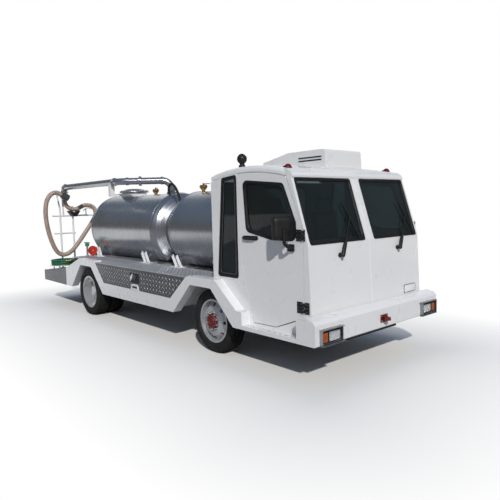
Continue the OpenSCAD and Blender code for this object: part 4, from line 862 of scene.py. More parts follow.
def make_door_fittings():
    for name, sign in SIDES:
        body = f"door_{name}"
        black, glass, screws, posts, post_screws = (bmesh.new() for _ in range(5))
        for z, reach in zip(HINGE_Z, POST_LEAF):
            add_hinge_leaf(black, screws, sign, hinge_x - HINGE_LEAF, hinge_x - HINGE_GAP, z, 0)
            add_hinge_leaf(posts, post_screws, sign, hinge_x + HINGE_GAP, hinge_x + reach, z, POST_COVER)
            pin = Vector((hinge_x, sign * hinge_y, z))
            add_lathe(black, band(0.009, BARREL_R, 0.0148, 0.013), pin, Z, 24)
            box_at_side(black, sign, hinge_x - HINGE_GAP - 0.003, hinge_x, cab_half + 0.002,
                        cab_half + HINGE_T, z - 0.0145, z + 0.0145, 0)
            for shift in (-0.031, 0.031):
                add_lathe(posts, band(0.009, BARREL_R + POST_COVER, 0.016, 0.014), pin + Z * shift, Z, 24)
                box_at_side(posts, sign, hinge_x, hinge_x + HINGE_GAP + 0.003, cab_half + 0.0015,
                            cab_half + HINGE_T + POST_COVER, z + shift - 0.0155, z + shift + 0.0155, 0)
        add_mirror(black, glass, sign)
        add_handle(black, sign)
        fittings = piece(f"door_fittings_{name}_detail", black, "black_plastic", body)
        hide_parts(f"door_fittings_{name}")
        piece(f"mirror_glass_{name}", glass, "mirror_glass", body)
        piece(f"hinge_screws_{name}", screws, "steel", body)
        piece(f"hinge_posts_{name}", posts, "black_plastic")
        piece(f"hinge_post_screws_{name}", post_screws, "steel")


# Wipers: pivot y and z, tip y and z, as in the part's source
WIPERS = ((-0.500, 1.232, -0.270, 1.586), (0.507, 1.235, 0.760, 1.575))
WIPER_ENDS = ((0.090, -0.220), (-0.060, 0.160))
# Step along the blade, height of the bow over the glass
WIPER_BOW = ((1, 0.019), (3, 0.022), (6, 0.025), (9, 0.022), (11, 0.019))
# Share of the arm's length, half its width, half its thickness
ARM_SECTION = ((-0.03, 0.016, 0.010), (0.0, 0.021, 0.012), (0.24, 0.021, 0.012), (0.40, 0.016, 0.0095),
               (0.46, 0.009, 0.006), (0.94, 0.0065, 0.0045), (1.0, 0.005, 0.004))


# Corners of a strip's section: side, face, and 1 where the width is cut or 0 where the thickness is
STRIP_CORNERS = ((1, 1, 0), (1, 1, 1), (-1, 1, 1), (-1, 1, 0), (-1, -1, 0), (-1, -1, 1), (1, -1, 1),
                 (1, -1, 0))
STRIP_CUT = 0.35


def add_strip(bm, path, sizes, flat):
    """A bar of oblong section along a path; flat is the way that its thickness points."""
    rings = []
    for i, p in enumerate(path):
        t = (path[min(i + 1, len(path) - 1)] - path[max(i - 1, 0)]).normalized()
        across = t.cross(flat).normalized()
        up = across.cross(t)
        wide, thick = sizes[i] if isinstance(sizes, list) else sizes
        cut = STRIP_CUT * thick
        rings.append([p + across * (a * (wide - cut * k)) + up * (b * (thick - cut * (1 - k)))
                      for a, b, k in STRIP_CORNERS])
    add_rings(bm, rings)


def make_wipers():
    bm = bmesh.new()
    for foot_y, foot_z, tip_y, tip_z in WIPERS:
        foot = front_at(foot_y, foot_z)
        base = foot + X * 0.045
        tip = front_at(tip_y, tip_z, 0.024)
        add_lathe(bm, [(0.024, 0.0006), (0.024, 0.010), (0.017, 0.014), (0.016, 0.034), (0.019, 0.036),
                       (0.019, 0.052), (0.015, 0.057), (0.004, 0.058)], foot, X, 24)
        add_strip(bm, [base.lerp(tip, share) for share, _, _ in ARM_SECTION],
                  [(w, t) for _, w, t in ARM_SECTION], X)
        low, high = (Vector((tip_y + dy, tip_z + dz)) for dy, dz in WIPER_ENDS)
        way = [low.lerp(high, k / 12) for k in range(13)]
        for lift, size in ((0.0155, (0.0055, 0.004)), (0.0085, (0.0018, 0.005))):
            add_strip(bm, [front_at(*p, lift) for p in way], size, X)
        for k in (1, 4, 8, 11):
            add_lathe(bm, [(0.007, -0.005), (0.007, 0.004), (0.004, 0.006)], front_at(*way[k], 0.016), X, 10)
        bow = [front_at(*way[k], lift) for k, lift in WIPER_BOW]
        add_strip(bm, bow, (0.005, 0.0025), X)
        add_lathe(bm, [(0.008, -0.010), (0.009, -0.004), (0.009, 0.006), (0.005, 0.009)], tip, X, 14)
    wipers = piece("wipers_detail", bm, "black_plastic")
    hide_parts("wipers")


LAMP_Y = 0.862
LAMP_Z = 0.520
LAMP_W = 0.262
LAMP_H = 0.112
GUARD_W = 0.296
GUARD_H = 0.150
GUARD_DEPTH = 0.040
# Middle and width of each lens, measured outboard from the lamp's middle
CLEAR_LENS = (-0.040, 0.158)
AMBER_LENS = (0.090, 0.062)
# Growth, inset or share of an outline, and depth, of a lamp's rim, lens and bowl
LAMP_RIM = [(-0.0005, 0.001), (-0.0005, 0.022), (-0.003, 0.026), (-0.007, 0.026), (-0.009, 0.022),
            (-0.009, 0.001)]
LENS_SECTION = [(0.0, 0.020), (0.0, 0.0255), (0.004, 0.0275), (0.016, 0.0288), (0.030, 0.0294)]
BOWL_SECTION = [(1.0, 0.018), (0.94, 0.013), (0.78, 0.009), (0.5, 0.0075), (0.2, 0.007)]


def make_lamps():
    front = plane(Y, Z, X, X * bumper_x)
    housing, clear, amber, bowls, guards = (bmesh.new() for _ in range(5))
    for _, sign in SIDES:
        def outline(w, h, r, shift=0.0):
            return rounded_rectangle(w, h, r, sign * (LAMP_Y + shift), LAMP_Z)

        add_prism(housing, outline(LAMP_W - 0.004, LAMP_H - 0.004, 0.012), front, 0.0005, 0.006)
        add_loft(housing, lambda grow: outline(LAMP_W + 2 * grow, LAMP_H + 2 * grow, 0.014), front, LAMP_RIM,
                 True)
        add_prism(housing, outline(0.020, LAMP_H - 0.010, 0.003, 0.0485), front, 0.004, 0.025, 0.003)
        for bm, (shift, width) in ((clear, CLEAR_LENS), (amber, AMBER_LENS)):
            add_loft(bm, lambda inset: outline(width - 2 * inset, LAMP_H - 0.024 - 2 * inset,
                                               max(0.010 - inset / 3, 0.002), shift), front, LENS_SECTION)
        middle = CLEAR_LENS[0]
        add_loft(bowls, lambda share: outline(0.150 * share, 0.082 * share, 0.02 * share, middle), front,
                 BOWL_SECTION)
        add_lathe(bowls, [(0.012, 0.006), (0.012, 0.012), (0.008, 0.016), (0.002, 0.017)],
                  (bumper_x, sign * (LAMP_Y + middle), LAMP_Z), X, 20)
        for s in (-1, 1):
            z = LAMP_Z + s * (GUARD_H / 2 + 0.0005)
            box_at_side(guards, sign, bumper_x + 0.001, bumper_x + GUARD_DEPTH + 0.004,
                        LAMP_Y - GUARD_W / 2 - 0.022, LAMP_Y + GUARD_W / 2 + 0.004, z - 0.002, z + 0.002,
                        0.0012)
            for k in (-0.11, 0.11):
                add_bolt(guards, (bumper_x + 0.020, sign * LAMP_Y + k, z + s * 0.002), Z * s, 0.006)
    lamp_housing = piece("lamp_housings", housing, "black_plastic")
    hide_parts("headlamps")
    piece("headlamp_lenses", clear, "lamp")
    piece("turn_lamp_lenses", amber, "amber")
    piece("lamp_bowls", bowls, "reflector")
    piece("guard_plates", guards, "guard")


PLATE_Y = 0.735
PLATE_Z = 0.750
PLATE_W = 0.230
PLATE_H = 0.082


def make_nose():
    """Bare plate, ridge down the middle, and the tow eye's screws."""
    def plate(grow, r=0.012):
        return rounded_rectangle(PLATE_W + 2 * grow, PLATE_H + 2 * grow, r, PLATE_Y, PLATE_Z)

    def on_nose(p, h):
        return front_at(p[0], p[1], h)

    bm = bmesh.new()
    add_loft(bm, plate, on_nose, ((0, -0.001), (0, 0.003), (-0.002, 0.004)))
    piece("blank_plate", bm, "white_paint")
    bm = bmesh.new()
    add_loft(bm, lambda grow: plate(grow, 0.014), on_nose,
             ((0.0045, 0.0), (0.004, 0.0045), (-0.001, 0.0045), (-0.0015, 0.001)), True)
    piece("blank_plate_rim", bm, "black_plastic")
    bm = bmesh.new()
    ridge = [front_at(0, z) for z in (0.700, 0.860, 1.020, 1.190, 1.340, 1.375, 1.520, 1.680, 1.840, 1.985)]
    add_strip(bm, ridge, (0.007, 0.0035), X)
    piece("nose_ridge", bm, "white_paint")
    bm = bmesh.new()
    low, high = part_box("tow_eye")
    for y in (low.y + 0.014, high.y - 0.014):
        for z in (low.z + 0.014, high.z - 0.014):
            add_bolt(bm, (bumper_x + 0.008, y, z), X, 0.008)
    piece("tow_eye_screws", bm, "bolt")


def skin_z(x, y):
    """Height of the roof's skin."""
    roof_r = 2.666 + 0.030 * (1 - abs(y) / cab_half)
    return -0.517 + math.sqrt(roof_r ** 2 - (x - roof_mid_x) ** 2)


AC_SLOT_X = (2.545, 2.875)
AC_SLOT_Z = (2.204, 2.236)


def make_roof_fittings():
    """Slots of the cooler as black strips of painted shade, its flanges, bases of the roof's lamps, and rims of
    the tail lamps.
    """
    low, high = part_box("air_conditioner")
    bm = bmesh.new()
    # The cooler's slots are flat black strips standing on its sides: painted shade of the openings
    for _, sign in SIDES:
        wall = side_plane(high.y, sign)
        for z in AC_SLOT_Z:
            slot = rounded_rectangle(AC_SLOT_X[1] - AC_SLOT_X[0], 0.014, 0.005, sum(AC_SLOT_X) / 2, z)
            add_prism(bm, slot, wall, -0.002, 0.003, 0.001)
    piece("cooler_slots_painted_shade", bm, "black_plastic")
    bm = bmesh.new()
    for _, sign in SIDES:
        foot = [Vector((x, sign * (high.y + 0.010), skin_z(x, high.y) + 0.002))
                for x in (low.x + 0.97 * (high.x - low.x) * k / 12 + 0.014 for k in range(13))]
        add_strip(bm, foot, (0.012, 0.003), Z)
        for k in range(1, 12, 2):
            add_bolt(bm, foot[k] + Z * 0.003, Z, 0.005)
    piece("cooler_flanges", bm, "white_paint")
    bm = bmesh.new()
    for sign in (-1, 1):
        x = roof_mid_x + 0.515
        at = Vector((x, sign * 0.840, skin_z(x, 0.840)))
        add_lathe(bm, [(0.046, -0.004), (0.046, 0.008), (0.0405, 0.012), (0.0375, 0.012)], at, Z + X * 0.2,
                  32)
    low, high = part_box("work_lamp")
    middle = (low + high) / 2
    ball_r = (high.y - low.y) / 2
    ball = Vector((middle.x, middle.y, high.z - ball_r))
    add_lathe(bm, [(ball_r + 0.0025, -0.006), (ball_r + 0.0035, 0.0), (ball_r + 0.0025, 0.006),
                   (ball_r - 0.002, 0.007)], ball, X, 36)
    add_lathe(bm, [(0.038, -0.086), (0.036, -0.070), (0.027, -0.062), (0.026, -0.045)], ball, Z, 28)
    piece("roof_lamp_bases", bm, "black_plastic")
    bm = bmesh.new()
    for sign in (-1, 1):
        for y in (0.700, 0.850):
            at = Vector((tail_x, sign * y, 0.500))
            add_lathe(bm, [(0.057, 0.0), (0.057, 0.008), (0.053, 0.012), (0.0495, 0.012), (0.0495, 0.0)], at,
                      -X, 40)
            for screw in circle(at - X * 0.010, Y, Z, 0.0535, 3):
                add_bolt(bm, screw, -X, 0.0025)
    piece("tail_lamp_rims", bm, "black_plastic")


# Tanks and pipes


def tank_side(z, lift=0.0):
    """Half width of a tank at a height."""
    return math.sqrt((tank_r + lift) ** 2 - (z - tank_z) ** 2)


SADDLE_X = (waste_seams[0] + 0.170, waste_seams[1] - 0.235, water_seams[0] + 0.090, water_seams[1] - 0.160)
SADDLE_W = 0.070
BRACE_X = (-0.018, 0.088)
MANWAY_R = 0.250
manway_x = rear_x - 0.218
VALVE_AT = ((rear_x + 0.522, 0.0), (water_seams[0] + 0.197, -0.100))
VALVE_LEVERS = (0.055, 0.150)


def make_tank_fittings():
    bm = bmesh.new()
    for x in (*waste_seams, *water_seams):
        add_tube(bm, circle((x, 0, tank_z), Y, Z, tank_r, 96), 0.005, 8, closed=True)
    piece("tank_welds", bm, "stainless")
    bm = bmesh.new()
    bolts = bmesh.new()
    for x in SADDLE_X:
        for _, sign in SIDES:
            for dx in BRACE_X:
                top = Vector((x + dx - 0.095, sign * 0.528, deck_z + 0.150))
                foot = Vector((x + dx + 0.095, sign * 0.585, deck_z + 0.010))
                add_strip(bm, [top, top.lerp(foot, 0.5), foot], (0.021, 0.007), Vector((0.3, sign, 0.5)))
                add_bolt(bolts, (x + dx - 0.088, sign * 0.538, deck_z + 0.148), Y * sign, 0.009)
            box_at_side(bm, sign, x - 0.030, x + SADDLE_W + 0.135, 0.520, 0.625, deck_z, deck_z + 0.010,
                        0.003)
            for dx in (-0.016, SADDLE_W + 0.120):
                for y in (0.540, 0.607):
                    add_bolt(bolts, (x + dx, sign * y, deck_z + 0.010), Z, 0.009)
    piece("saddle_ribs", bm, "white_paint")
    piece("saddle_bolts", bolts, "bolt")
    bm = bmesh.new()
    for at in circle((manway_x, 0, tank_top + 0.0815), X, Y, 0.228, 16, 0.5):
        add_bolt(bm, at, Z, 0.010)
    rim = [(0.003, 0.052), (0.006, 0.056), (0.006, 0.070), (0.003, 0.075), (-0.004, 0.075), (-0.004, 0.052)]
    add_lathe(bm, [(MANWAY_R + dr, dz) for dr, dz in rim], (manway_x, 0, tank_top), Z, 64)
    piece("manway_bolts", bm, "bolt")
    levers, nuts = bmesh.new(), bmesh.new()
    for (x, y), reach in zip(VALVE_AT, VALVE_LEVERS):
        add_box(levers, (x + 0.012, y - 0.013, tank_top + 0.0955),
                (x - 0.006 + reach, y + 0.013, tank_top + 0.1065), 0.004)
        for s in (-1, 1):
            at = (x + s * 0.046, y, tank_top + 0.062)
            add_lathe(nuts, [(0.031, -0.014), (0.031, 0.012), (0.027, 0.016)], at, X * s, 6)
        add_lathe(nuts, [(0.014, 0.086), (0.014, 0.109), (0.009, 0.113)], (x, y, tank_top), Z, 6)
    piece("valve_levers", levers, "red_paint")
    piece("valve_nuts", nuts, "brass")
    bm = bmesh.new()
    for _, sign in SIDES:
        box_at_side(bm, sign, tank_low.x + 0.25, water_high.x - 0.16, tank_side(deck_z) + 0.006, 0.545,
                    deck_z - 0.0075, deck_z - 0.0015, 0.001)
    piece("deck_strips", bm, "tread_bar")


PIPE_R = 0.054
PIPE_Z = 2.165
PIPE_Y = -0.665
SWING = math.radians(50)
KINK_R = 0.300
riser_foot = Vector((waste_seams[1] - 0.213, -0.020, 0))
RISER_BEND_R = 0.150
ELBOW_R = 0.090


def pipe_joints():
    """Middle and direction of each clamp on the overhead pipe, the start of its kink and the way there."""
    top = riser_foot + Z * PIPE_Z
    swing = Vector((-math.cos(SWING), -math.sin(SWING), 0))
    kink = top + swing * ((riser_foot.y - PIPE_Y) / math.sin(SWING))
    reach = KINK_R * math.tan(SWING / 2)
    kink_start = kink - swing * reach
    bands = [(top - Z * RISER_BEND_R, Z), (top + swing * RISER_BEND_R, swing), (kink_start, swing),
             (kink - X * reach, X), (Vector((hose_x + ELBOW_R, PIPE_Y, PIPE_Z)), X),
             (Vector((hose_x, PIPE_Y, PIPE_Z - ELBOW_R)), Z)]
    return bands, kink_start, swing


def make_pipe_fittings():
    bands, kink_start, swing = pipe_joints()
    bm = bmesh.new()
    for at, along in bands:
        side, _ = basis(along)
        for s in (-1, 1):
            add_lathe(bm, band(PIPE_R + 0.0072, PIPE_R + 0.0105, 0.0035, 0.002), at + along * (0.012 * s),
                      along, 48)
        lug = at + side * (PIPE_R + 0.014)
        add_lathe(bm, [(0.011, -0.014), (0.011, 0.014)], lug, along.cross(side), 12)
        add_bolt(bm, lug + along.cross(side) * 0.014, along.cross(side), 0.007)
    flange = kink_start - swing * 0.205
    for at in circle(flange, *basis(swing), PIPE_R + 0.0115, 8):
        for s in (-1, 1):
            add_bolt(bm, at + swing * (0.015 * s), swing * s, 0.0065)
    rim = [(PIPE_R + 0.0225, -0.0012), (PIPE_R + 0.0235, 0.0), (PIPE_R + 0.0225, 0.0012)]
    add_lathe(bm, rim, flange, swing, 48)
    for dz in (0.010, 0.026):
        add_lathe(bm, band(PIPE_R + 0.0145, PIPE_R + 0.0165, 0.004, 0.003), (hose_x, PIPE_Y, 1.960 + dz), Z,
                  48)
    for at in circle(riser_foot + Z * (tank_top + 0.016), X, Y, 0.069, 6, 0.5):
        add_bolt(bm, at, Z, 0.007)
    piece("pipe_clamps", bm, "bolt")


def make_drain_valve():
    x, y, z = waste_seams[0] + 0.060, -0.590, 0.985
    at = Vector((x, y, z))
    pipe, wheel, centre, green = (bmesh.new() for _ in range(4))
    reach = -tank_side(z, 0.001) - y
    foot = deck_z - z
    face = Vector((0.62, -0.78, 0.0)).normalized()
    hub = at + Z * 0.008 + face * 0.012
    add_lathe(pipe, [(0.042, 0.0), (0.042, reach - 0.004), (0.036, reach)], at, Y, 36)
    add_lathe(pipe, [(0.052, 0.004), (0.052, 0.022), (0.046, 0.026)], at, Y, 36)
    add_lathe(pipe, [(0.034, foot), (0.034, -0.030)], at + Y * 0.060, Z, 28)
    add_lathe(pipe, [(0.050, foot), (0.050, foot + 0.012), (0.042, foot + 0.016)], at + Y * 0.060, Z, 28)
    add_lathe(wheel, [(0.030, 0.001), (0.080, 0.001), (0.088, 0.006), (0.088, 0.024), (0.081, 0.030),
                      (0.068, 0.030), (0.062, 0.022), (0.030, 0.020), (0.024, 0.024)], hub, face, 48)
    for arm in circle((0, 0, 0), *basis(face), 1, 6):
        add_strip(wheel, [hub + face * 0.023 + arm * r for r in (0.022, 0.043, 0.066)], (0.006, 0.004), face)
    add_lathe(centre, [(0.020, 0.018), (0.020, 0.038), (0.014, 0.041), (0.012, 0.046), (0.004, 0.046)], hub,
              face, 6)
    stem = Vector((x - 0.020, y - 0.110, deck_z))
    add_lathe(pipe, [(0.030, 0.0005), (0.030, 0.012), (0.017, 0.016), (0.017, 0.176)], stem, Z, 28)
    add_lathe(green, [(0.020, 0.174), (0.025, 0.178), (0.026, 0.200), (0.025, 0.222), (0.016, 0.228)], stem,
              Z, 28)
    add_lathe(green, band(0.020, 0.026, 0.045, 0.040), stem + Z * 0.200, X, 28)
    lever = Matrix.Translation(stem + Z * 0.237)
    add_box(green, (-0.080, -0.019, -0.0105), (0.080, 0.019, 0.0125), 0.006, lever)
    body = piece("drain_valve_body", pipe, "stainless")
    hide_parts("drain_valve")
    piece("drain_valve_wheel", wheel, "red_paint")
    piece("drain_valve_nut", centre, "brass")
    piece("drain_tap_handle", green, "green_paint")


# Sides, rear and underside

FILLER_X = rear_x + 1.654
FILLER_Z = 0.778
POCKET_W = 0.250
POCKET_H = 0.140
SLOT_Z = 0.640
STEP_Z = 0.480
# Outlines as distance ahead of the filler or axle, and height
FILLER_FLAP = [(-0.112, 0.712), (-0.045, 0.782), (-0.052, 0.826), (-0.116, 0.778)]
FILLER_BRACKET = [(-0.120, 0.601), (0.130, 0.601), (0.085, 0.682), (-0.075, 0.682)]
ARCH = [(-0.640, 0.470), (-0.270, 0.812), (-0.215, 0.827), (0.215, 0.827), (0.270, 0.812), (0.640, 0.470)]
ARCH_T = 0.003


def make_side_fittings():
    """Filler with its pocket, flap and bracket on the right, the bracket's slot as a black strip of painted shade,
    and liners and steps on both sides.
    """
    wall = side_plane(half_w, -1)
    bm = bmesh.new()
    add_prism(bm, rounded_rectangle(POCKET_W, POCKET_H, 0.012, FILLER_X, FILLER_Z - 0.010), wall, -0.0005,
              0.0032)
    piece("filler_pocket", bm, "black_plastic")
    bm = bmesh.new()
    at = wall @ Vector((FILLER_X, FILLER_Z, 0.002))
    add_lathe(bm, [(0.044, 0.0), (0.044, 0.010), (0.040, 0.013), (0.034, 0.013), (0.031, 0.010),
                   (0.004, 0.010)], at, -Y, 36)
    add_box(bm, (-0.030, -0.020, -0.006), (0.030, -0.008, 0.006), 0.003, Matrix.Translation(at))
    piece("filler_cap", bm, "coupling")
    bm = bmesh.new()
    for outline, low, high in ((FILLER_FLAP, 0.003, 0.008), (FILLER_BRACKET, -0.0005, 0.006)):
        add_prism(bm, [(FILLER_X + x, z) for x, z in outline], wall, low, high, 0.0015)
    piece("filler_bracket", bm, "white_paint")
    bm = bmesh.new()
    # The bracket's slot is a flat black strip on the bracket: painted shade of the opening
    add_prism(bm, rounded_rectangle(0.130, 0.030, 0.008, FILLER_X + 0.005, SLOT_Z), wall, 0.004, 0.0068)
    piece("bracket_slot_painted_shade", bm, "black_plastic")
    for name, sign in SIDES:
        bm = bmesh.new()
        for axle, inner in ((front_x, 0.500), (rear_x, 0.450)):
            line = [(axle + dx, z) for dx, z in ARCH]
            outline = line + [(x + math.copysign(ARCH_T, x - axle), z + ARCH_T) for x, z in reversed(line)]
            add_prism(bm, outline, side_plane(0, sign), inner, cab_half - 0.002)
        piece(f"arch_liners_{name}", bm, "white_paint")
        bm = bmesh.new()
        low_y, high_y = sorted((sign * (cab_half + 0.006), sign * (half_w - 0.006)))
        add_tread(bm, rectangle(front_x + 0.746, low_y, door_front_x - 0.006, high_y),
                  Matrix.Translation(Z * STEP_Z))
        piece(f"tread_step_{name}", bm, "tread_bar")


CRADLE_Y = -0.490
RACK_RAIL_Z = 1.620
# Section of the hose's cradle, seen from the rail's middle
CRADLE_SECTION = ((-0.113, 0.090), (-0.032, -0.018), (0.032, -0.018), (0.113, 0.090), (0.091, 0.0985),
                  (0.0, 0.053), (-0.091, 0.0985))


def make_rack_fittings():
    """Black shell over the hose's cradle, and clamps where the rack's tubes cross."""
    across = plane(Y, Z, X)
    bm = bmesh.new()
    cradle = [(CRADLE_Y + y, RACK_RAIL_Z + z) for y, z in CRADLE_SECTION]
    add_prism(bm, cradle, across, rack_x + 0.010, hose_x + 0.046, 0.002)
    piece("hose_cradle", bm, "black_plastic")
    bm = bmesh.new()
    for y in (-0.730, -0.480, 0.480, 0.730):
        for z in (1.280, RACK_RAIL_Z):
            add_lathe(bm, band(0.0185, 0.0215, 0.022, 0.020), (rack_x, y, z), Z, 24)
            add_bolt(bm, (rack_x + 0.021, y, z), X, 0.006)
        add_lathe(bm, [(0.0175, 0.0), (0.019, 0.003), (0.019, 0.012), (0.013, 0.018), (0.004, 0.019)],
                  (rack_x, y, 1.785), Z, 24)
        foot_z = PLATFORM_Z[0] + (rack_x - tail_x) * platform_rise
        add_box(bm, (rack_x - 0.045, y - 0.045, foot_z - 0.004), (rack_x + 0.045, y + 0.045, foot_z + 0.010),
                0.003)
        for dx in (-0.032, 0.032):
            for dy in (-0.032, 0.032):
                add_bolt(bm, (rack_x + dx, y + dy, foot_z + 0.010), Z, 0.006)
    piece("rack_clamps", bm, "white_paint")


# Section of the fuel tank, its middle and half sizes
FUEL_SECTION = [(-0.920, 0.470, 0.070), (-0.430, 0.470, 0.070), (-0.430, 0.820, 0.006),
                (-0.920, 0.820, 0.070)]
FUEL_Y = -0.675
FUEL_Z = 0.645
FUEL_HALF = (0.245, 0.175)


def make_axle_fittings():
    """U-bolts, spring clips and straps round the fuel tank."""
    bm = bmesh.new()
    for axle, low_z, high_z in ((front_x, 0.284, 0.424), (rear_x, 0.300, 0.520)):
        for y in (-0.395, 0.395):
            for dx in (-0.048, 0.048):
                for dy in (-0.041, 0.041):
                    add_tube(bm, [(axle + dx, y + dy, low_z), (axle + dx, y + dy, high_z + 0.018)], 0.007, 10)
                    add_bolt(bm, (axle + dx, y + dy, high_z + 0.008), Z, 0.010)
            for z, rise in ((high_z, 0.010), (low_z, 0.008)):
                add_box(bm, (axle - 0.068, y - 0.056, z - 0.004), (axle + 0.068, y + 0.056, z + rise), 0.003)
    piece("spring_bolts", bm, "steel")

    def strap(grow):
        wide, tall = 1 + grow / FUEL_HALF[0], 1 + grow / FUEL_HALF[1]
        return [(FUEL_Y + (p.x - FUEL_Y) * wide,
                 FUEL_Z + (p.y - FUEL_Z) * tall) for p in rounded(FUEL_SECTION)]

    low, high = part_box("fuel_tank")
    bm = bmesh.new()
    for x in (low.x + 0.10, high.x - 0.14):
        add_loft(bm, strap, lambda p, dx: Vector((x + dx, *p)),
                 ((0.0005, 0.0), (0.003, 0.0), (0.003, 0.040), (0.0005, 0.040)), True)
    piece("fuel_tank_straps", bm, "steel")


# Seats and dash

SEAT_Y = 0.430
PAD_VOXEL = 0.011
PAD_FRAMES = 16
PAD_CAP = 0.010
# Pads of a seat: name, outline from the side, half width
PADS = (
    ("cushion", [(0.004, 0.052), (0.375, 0.052), (0.388, 0.136), (0.085, 0.122), (0.02, 0.122)], 0.216),
    ("back", [(-0.022, 0.118), (0.080, 0.132), (-0.018, 0.728), (-0.100, 0.728)], 0.216),
    ("headrest", [(-0.098, 0.748), (-0.030, 0.748), (-0.034, 0.888), (-0.098, 0.888)], 0.110))


def swollen(name, bm):
    """Mesh of a pad: the form is remeshed, blown up by cloth pressure and held to a small swell."""
    mesh = bpy.data.meshes.new(name)
    bmesh.ops.recalc_face_normals(bm, faces=bm.faces)
    bm.to_mesh(mesh)
    bm.free()
    pad = bpy.data.objects.new(name, mesh)
    scene = bpy.context.scene
    scene.collection.objects.link(pad)
    remesh = pad.modifiers.new("remesh", "REMESH")
    remesh.mode = "VOXEL"
    remesh.voxel_size = PAD_VOXEL
    view = bpy.context.evaluated_depsgraph_get()
    fine = bpy.data.meshes.new_from_object(pad.evaluated_get(view))
    pad.modifiers.clear()
    pad.data = fine
    cloth = pad.modifiers.new("cloth", "CLOTH")
    cloth.settings.use_pressure = True
    cloth.settings.uniform_pressure_force = 4
    cloth.settings.effector_weights.gravity = 0
    for step in range(1, PAD_FRAMES + 1):
        scene.frame_set(step)
    blown = pad.evaluated_get(bpy.context.evaluated_depsgraph_get()).data
    moved = [v.co.copy() for v in blown.vertices]
    pad.modifiers.clear()
    scene.frame_set(1)
    for v, co in zip(fine.vertices, moved):
        way = co - v.co
        v.co += way * min(1, PAD_CAP / max(way.length, 1e-6))
    bpy.data.objects.remove(pad)
    return fine


def make_seats():
    """Frame, cushion, back and headrest of each seat, with a sewn seam round every pad."""
    across = plane(X, Z, Y, (riser_x, 0, seat_floor_z))
    for label, outline, half in PADS:
        bm = bmesh.new()
        add_prism(bm, outline, across, -half, half, 0.020)
        fine = swollen(label, bm)
        for name, sign in SIDES:
            bm = bmesh.new()
            bm.from_mesh(fine)
            bmesh.ops.translate(bm, verts=bm.verts, vec=Y * (sign * SEAT_Y))
            pad = piece(f"seat_{label}_{name}", bm, "seat", smooth=70)
            smooth = pad.modifiers.new("round", "SUBSURF")
            smooth.levels = smooth.render_levels = 1
            if label == "cushion":
                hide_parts("seats")
        bpy.data.meshes.remove(fine)
    seams, frames = bmesh.new(), bmesh.new()
    for _, sign in SIDES:
        for _, outline, half in PADS:
            for side in (-1, 1):
                loop = [across @ Vector((p.x, p.y, side * (half + 0.004))) + Y * (sign * SEAT_Y)
                        for p in rounded([(x, z, 0.018) for x, z in outline], 4)]
                add_tube(seams, loop, 0.0035, 8, closed=True)
        shift = Matrix.Translation((riser_x, sign * SEAT_Y, seat_floor_z))
        add_box(frames, (-0.035, -0.200, 0.001), (0.360, 0.200, 0.044), 0.008, shift)
        for dy in (-0.055, 0.055):
            add_tube(frames, [shift @ Vector((-0.062, dy, 0.70)), shift @ Vector((-0.064, dy, 0.78))], 0.007,
                     10)
    piece("seat_seams", seams, "trim")
    piece("seat_frames", frames, "black_plastic")


def make_dash():
    """Instrument hood with dials, and a console with knobs."""
    dash_z = screen_z - 0.040
    hood_x = door_front_x - 0.200
    bm = bmesh.new()
    add_box(bm, (hood_x - 0.045, SEAT_Y - 0.170, dash_z - 0.012),
            (hood_x + 0.090, SEAT_Y + 0.170, dash_z + 0.052), 0.016)
    add_box(bm, (hood_x - 0.050, -0.180, dash_z - 0.150), (hood_x + 0.020, 0.130, dash_z - 0.040), 0.010)
    piece("dash_hood", bm, "trim")
    bm = bmesh.new()
    for y in (-0.100, 0.0, 0.100):
        at = Vector((hood_x - 0.044, SEAT_Y + y, dash_z + 0.018))
        add_lathe(bm, [(0.036, 0.0), (0.036, 0.006), (0.032, 0.008), (0.029, 0.004), (0.002, 0.003)], at, -X,
                  32)
    for y in (-0.13, -0.06, 0.01, 0.08):
        add_lathe(bm, [(0.014, 0.0), (0.014, 0.014), (0.011, 0.018), (0.002, 0.018)],
                  (hood_x - 0.050, y, dash_z - 0.095), -X, 20)
    piece("dash_dials", bm, "guard")


# Light, floor and backdrop

SUN_FROM = Vector((0.66, -0.45, 0.56)).normalized()
SUN_POWER = 2.75
# Height of a direction, colour of the room that light and reflections see there
ROOM = [(-1.0, (0.26, 0.26, 0.26)), (-0.02, (0.20, 0.20, 0.20)), (0.03, (0.14, 0.14, 0.14)),
        (0.20, (0.17, 0.18, 0.195)), (0.42, (0.16, 0.205, 0.27)), (1.0, (0.18, 0.23, 0.33))]
# Level direction from the camera to the white backdrop, and how far round it the backdrop reaches
BACKDROP = (-0.754, 0.657, 0.0)
BACKDROP_FROM = 0.80
# Distance from the truck's sides over which the floor fades to white
FLOOR_FADE = (0.0, 1.9)
FLOOR_BOUNCE = (0.45, 0.45, 0.45, 1)
FLOOR_REACH = 60


def backdrop_share(n, way, start):
    """Whether a ray sees the white backdrop: the camera's and glass's do, and metal's behind the truck."""
    path = n.add("ShaderNodeLightPath").outputs
    behind = n.calc("GREATER_THAN", n.aim("DOT_PRODUCT", way, BACKDROP, output="Value"), start)
    eyes = n.calc("MAXIMUM", path["Is Camera Ray"], path["Is Transmission Ray"])
    return n.calc("MAXIMUM", eyes, n.calc("MULTIPLY", behind, path["Is Glossy Ray"]))


def set_world():
    """A dim room with a blue ceiling, and the white backdrop."""
    n = Nodes("studio", "worlds")
    bpy.context.scene.world = n.owner
    way = n.coords["Generated"]
    stops = [((at + 1) / 2, colour) for at, colour in ROOM]
    room = n.add("ShaderNodeBackground", {"Color": n.ramp(n.range(n.height(way), 0, 1, -1, 1), stops)})
    plain = n.add("ShaderNodeBackground", {"Color": (1, 1, 1, 1)})
    seen = n.shade(backdrop_share(n, way, BACKDROP_FROM), room.outputs[0], plain.outputs[0])
    n.feed(seen, n.tree.nodes["World Output"].inputs["Surface"])


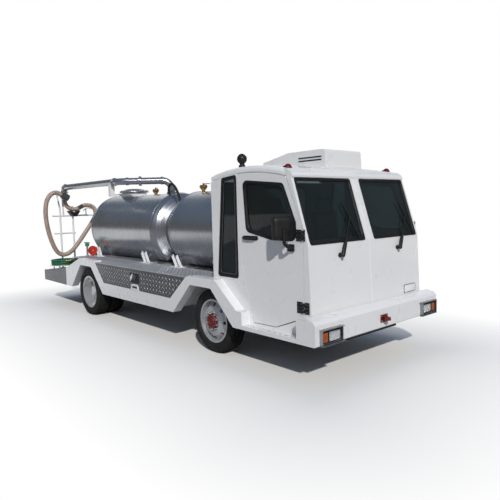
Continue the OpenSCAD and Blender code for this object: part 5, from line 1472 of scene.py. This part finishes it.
def set_floor():
    """A pale floor that keeps the truck's shadow and melts into white further out."""
    mesh = bpy.data.meshes.new("floor")
    corners = rectangle(-FLOOR_REACH, -FLOOR_REACH, FLOOR_REACH, FLOOR_REACH)
    mesh.from_pydata([(x, y, 0) for x, y in corners], [], [(0, 1, 2, 3)])
    floor = bpy.data.objects.new("floor", mesh)
    bpy.context.scene.collection.objects.link(floor)
    n = Nodes("floor")
    n.set(Base_Color=n.mix(n.range(n.noise(0.8, 3)), (0.95, 0.935, 0.91), (0.93, 0.915, 0.89)), Roughness=0.9)
    past = n.aim("SUBTRACT", n.aim("ABSOLUTE", n.place), (bumper_x, half_w, 0))
    far = n.aim("LENGTH", n.aim("MAXIMUM", past, (0, 0, 0)), output="Value")
    white = n.calc("MULTIPLY", n.range(far, 0, 1, *FLOOR_FADE), backdrop_share(n, n.place, half_w))
    path = n.add("ShaderNodeLightPath").outputs
    dim = n.calc("MAXIMUM", path["Is Diffuse Ray"], path["Is Glossy Ray"])
    bounce = n.add("ShaderNodeBsdfDiffuse", {"Color": FLOOR_BOUNCE}).outputs["BSDF"]
    lit = n.shade(dim, n.shader.outputs["BSDF"], bounce)
    seen = n.shade(white, lit, n.add("ShaderNodeEmission").outputs["Emission"])
    n.feed(seen, n.tree.nodes["Material Output"].inputs["Surface"])
    mesh.materials.append(n.owner)


def set_sun():
    sun = bpy.data.lights.new("sun", "SUN")
    sun.energy = SUN_POWER
    sun.angle = math.radians(1.5)
    sun.color = (1.0, 0.975, 0.94)
    lamp = bpy.data.objects.new("sun", sun)
    lamp.rotation_euler = (-SUN_FROM).to_track_quat("-Z", "Y").to_euler()
    bpy.context.scene.collection.objects.link(lamp)


for make in (set_camera, set_world, set_floor, set_sun, make_drain_hose, make_rinse_hose, make_wheels,
             make_tread, make_gaskets, make_door_fittings, make_wipers, make_lamps, make_nose,
             make_roof_fittings, make_tank_fittings, make_pipe_fittings, make_drain_valve, make_side_fittings,
             make_rack_fittings, make_axle_fittings, make_seats, make_dash):
    make()

bpy.context.scene.view_settings.view_transform = "Standard"
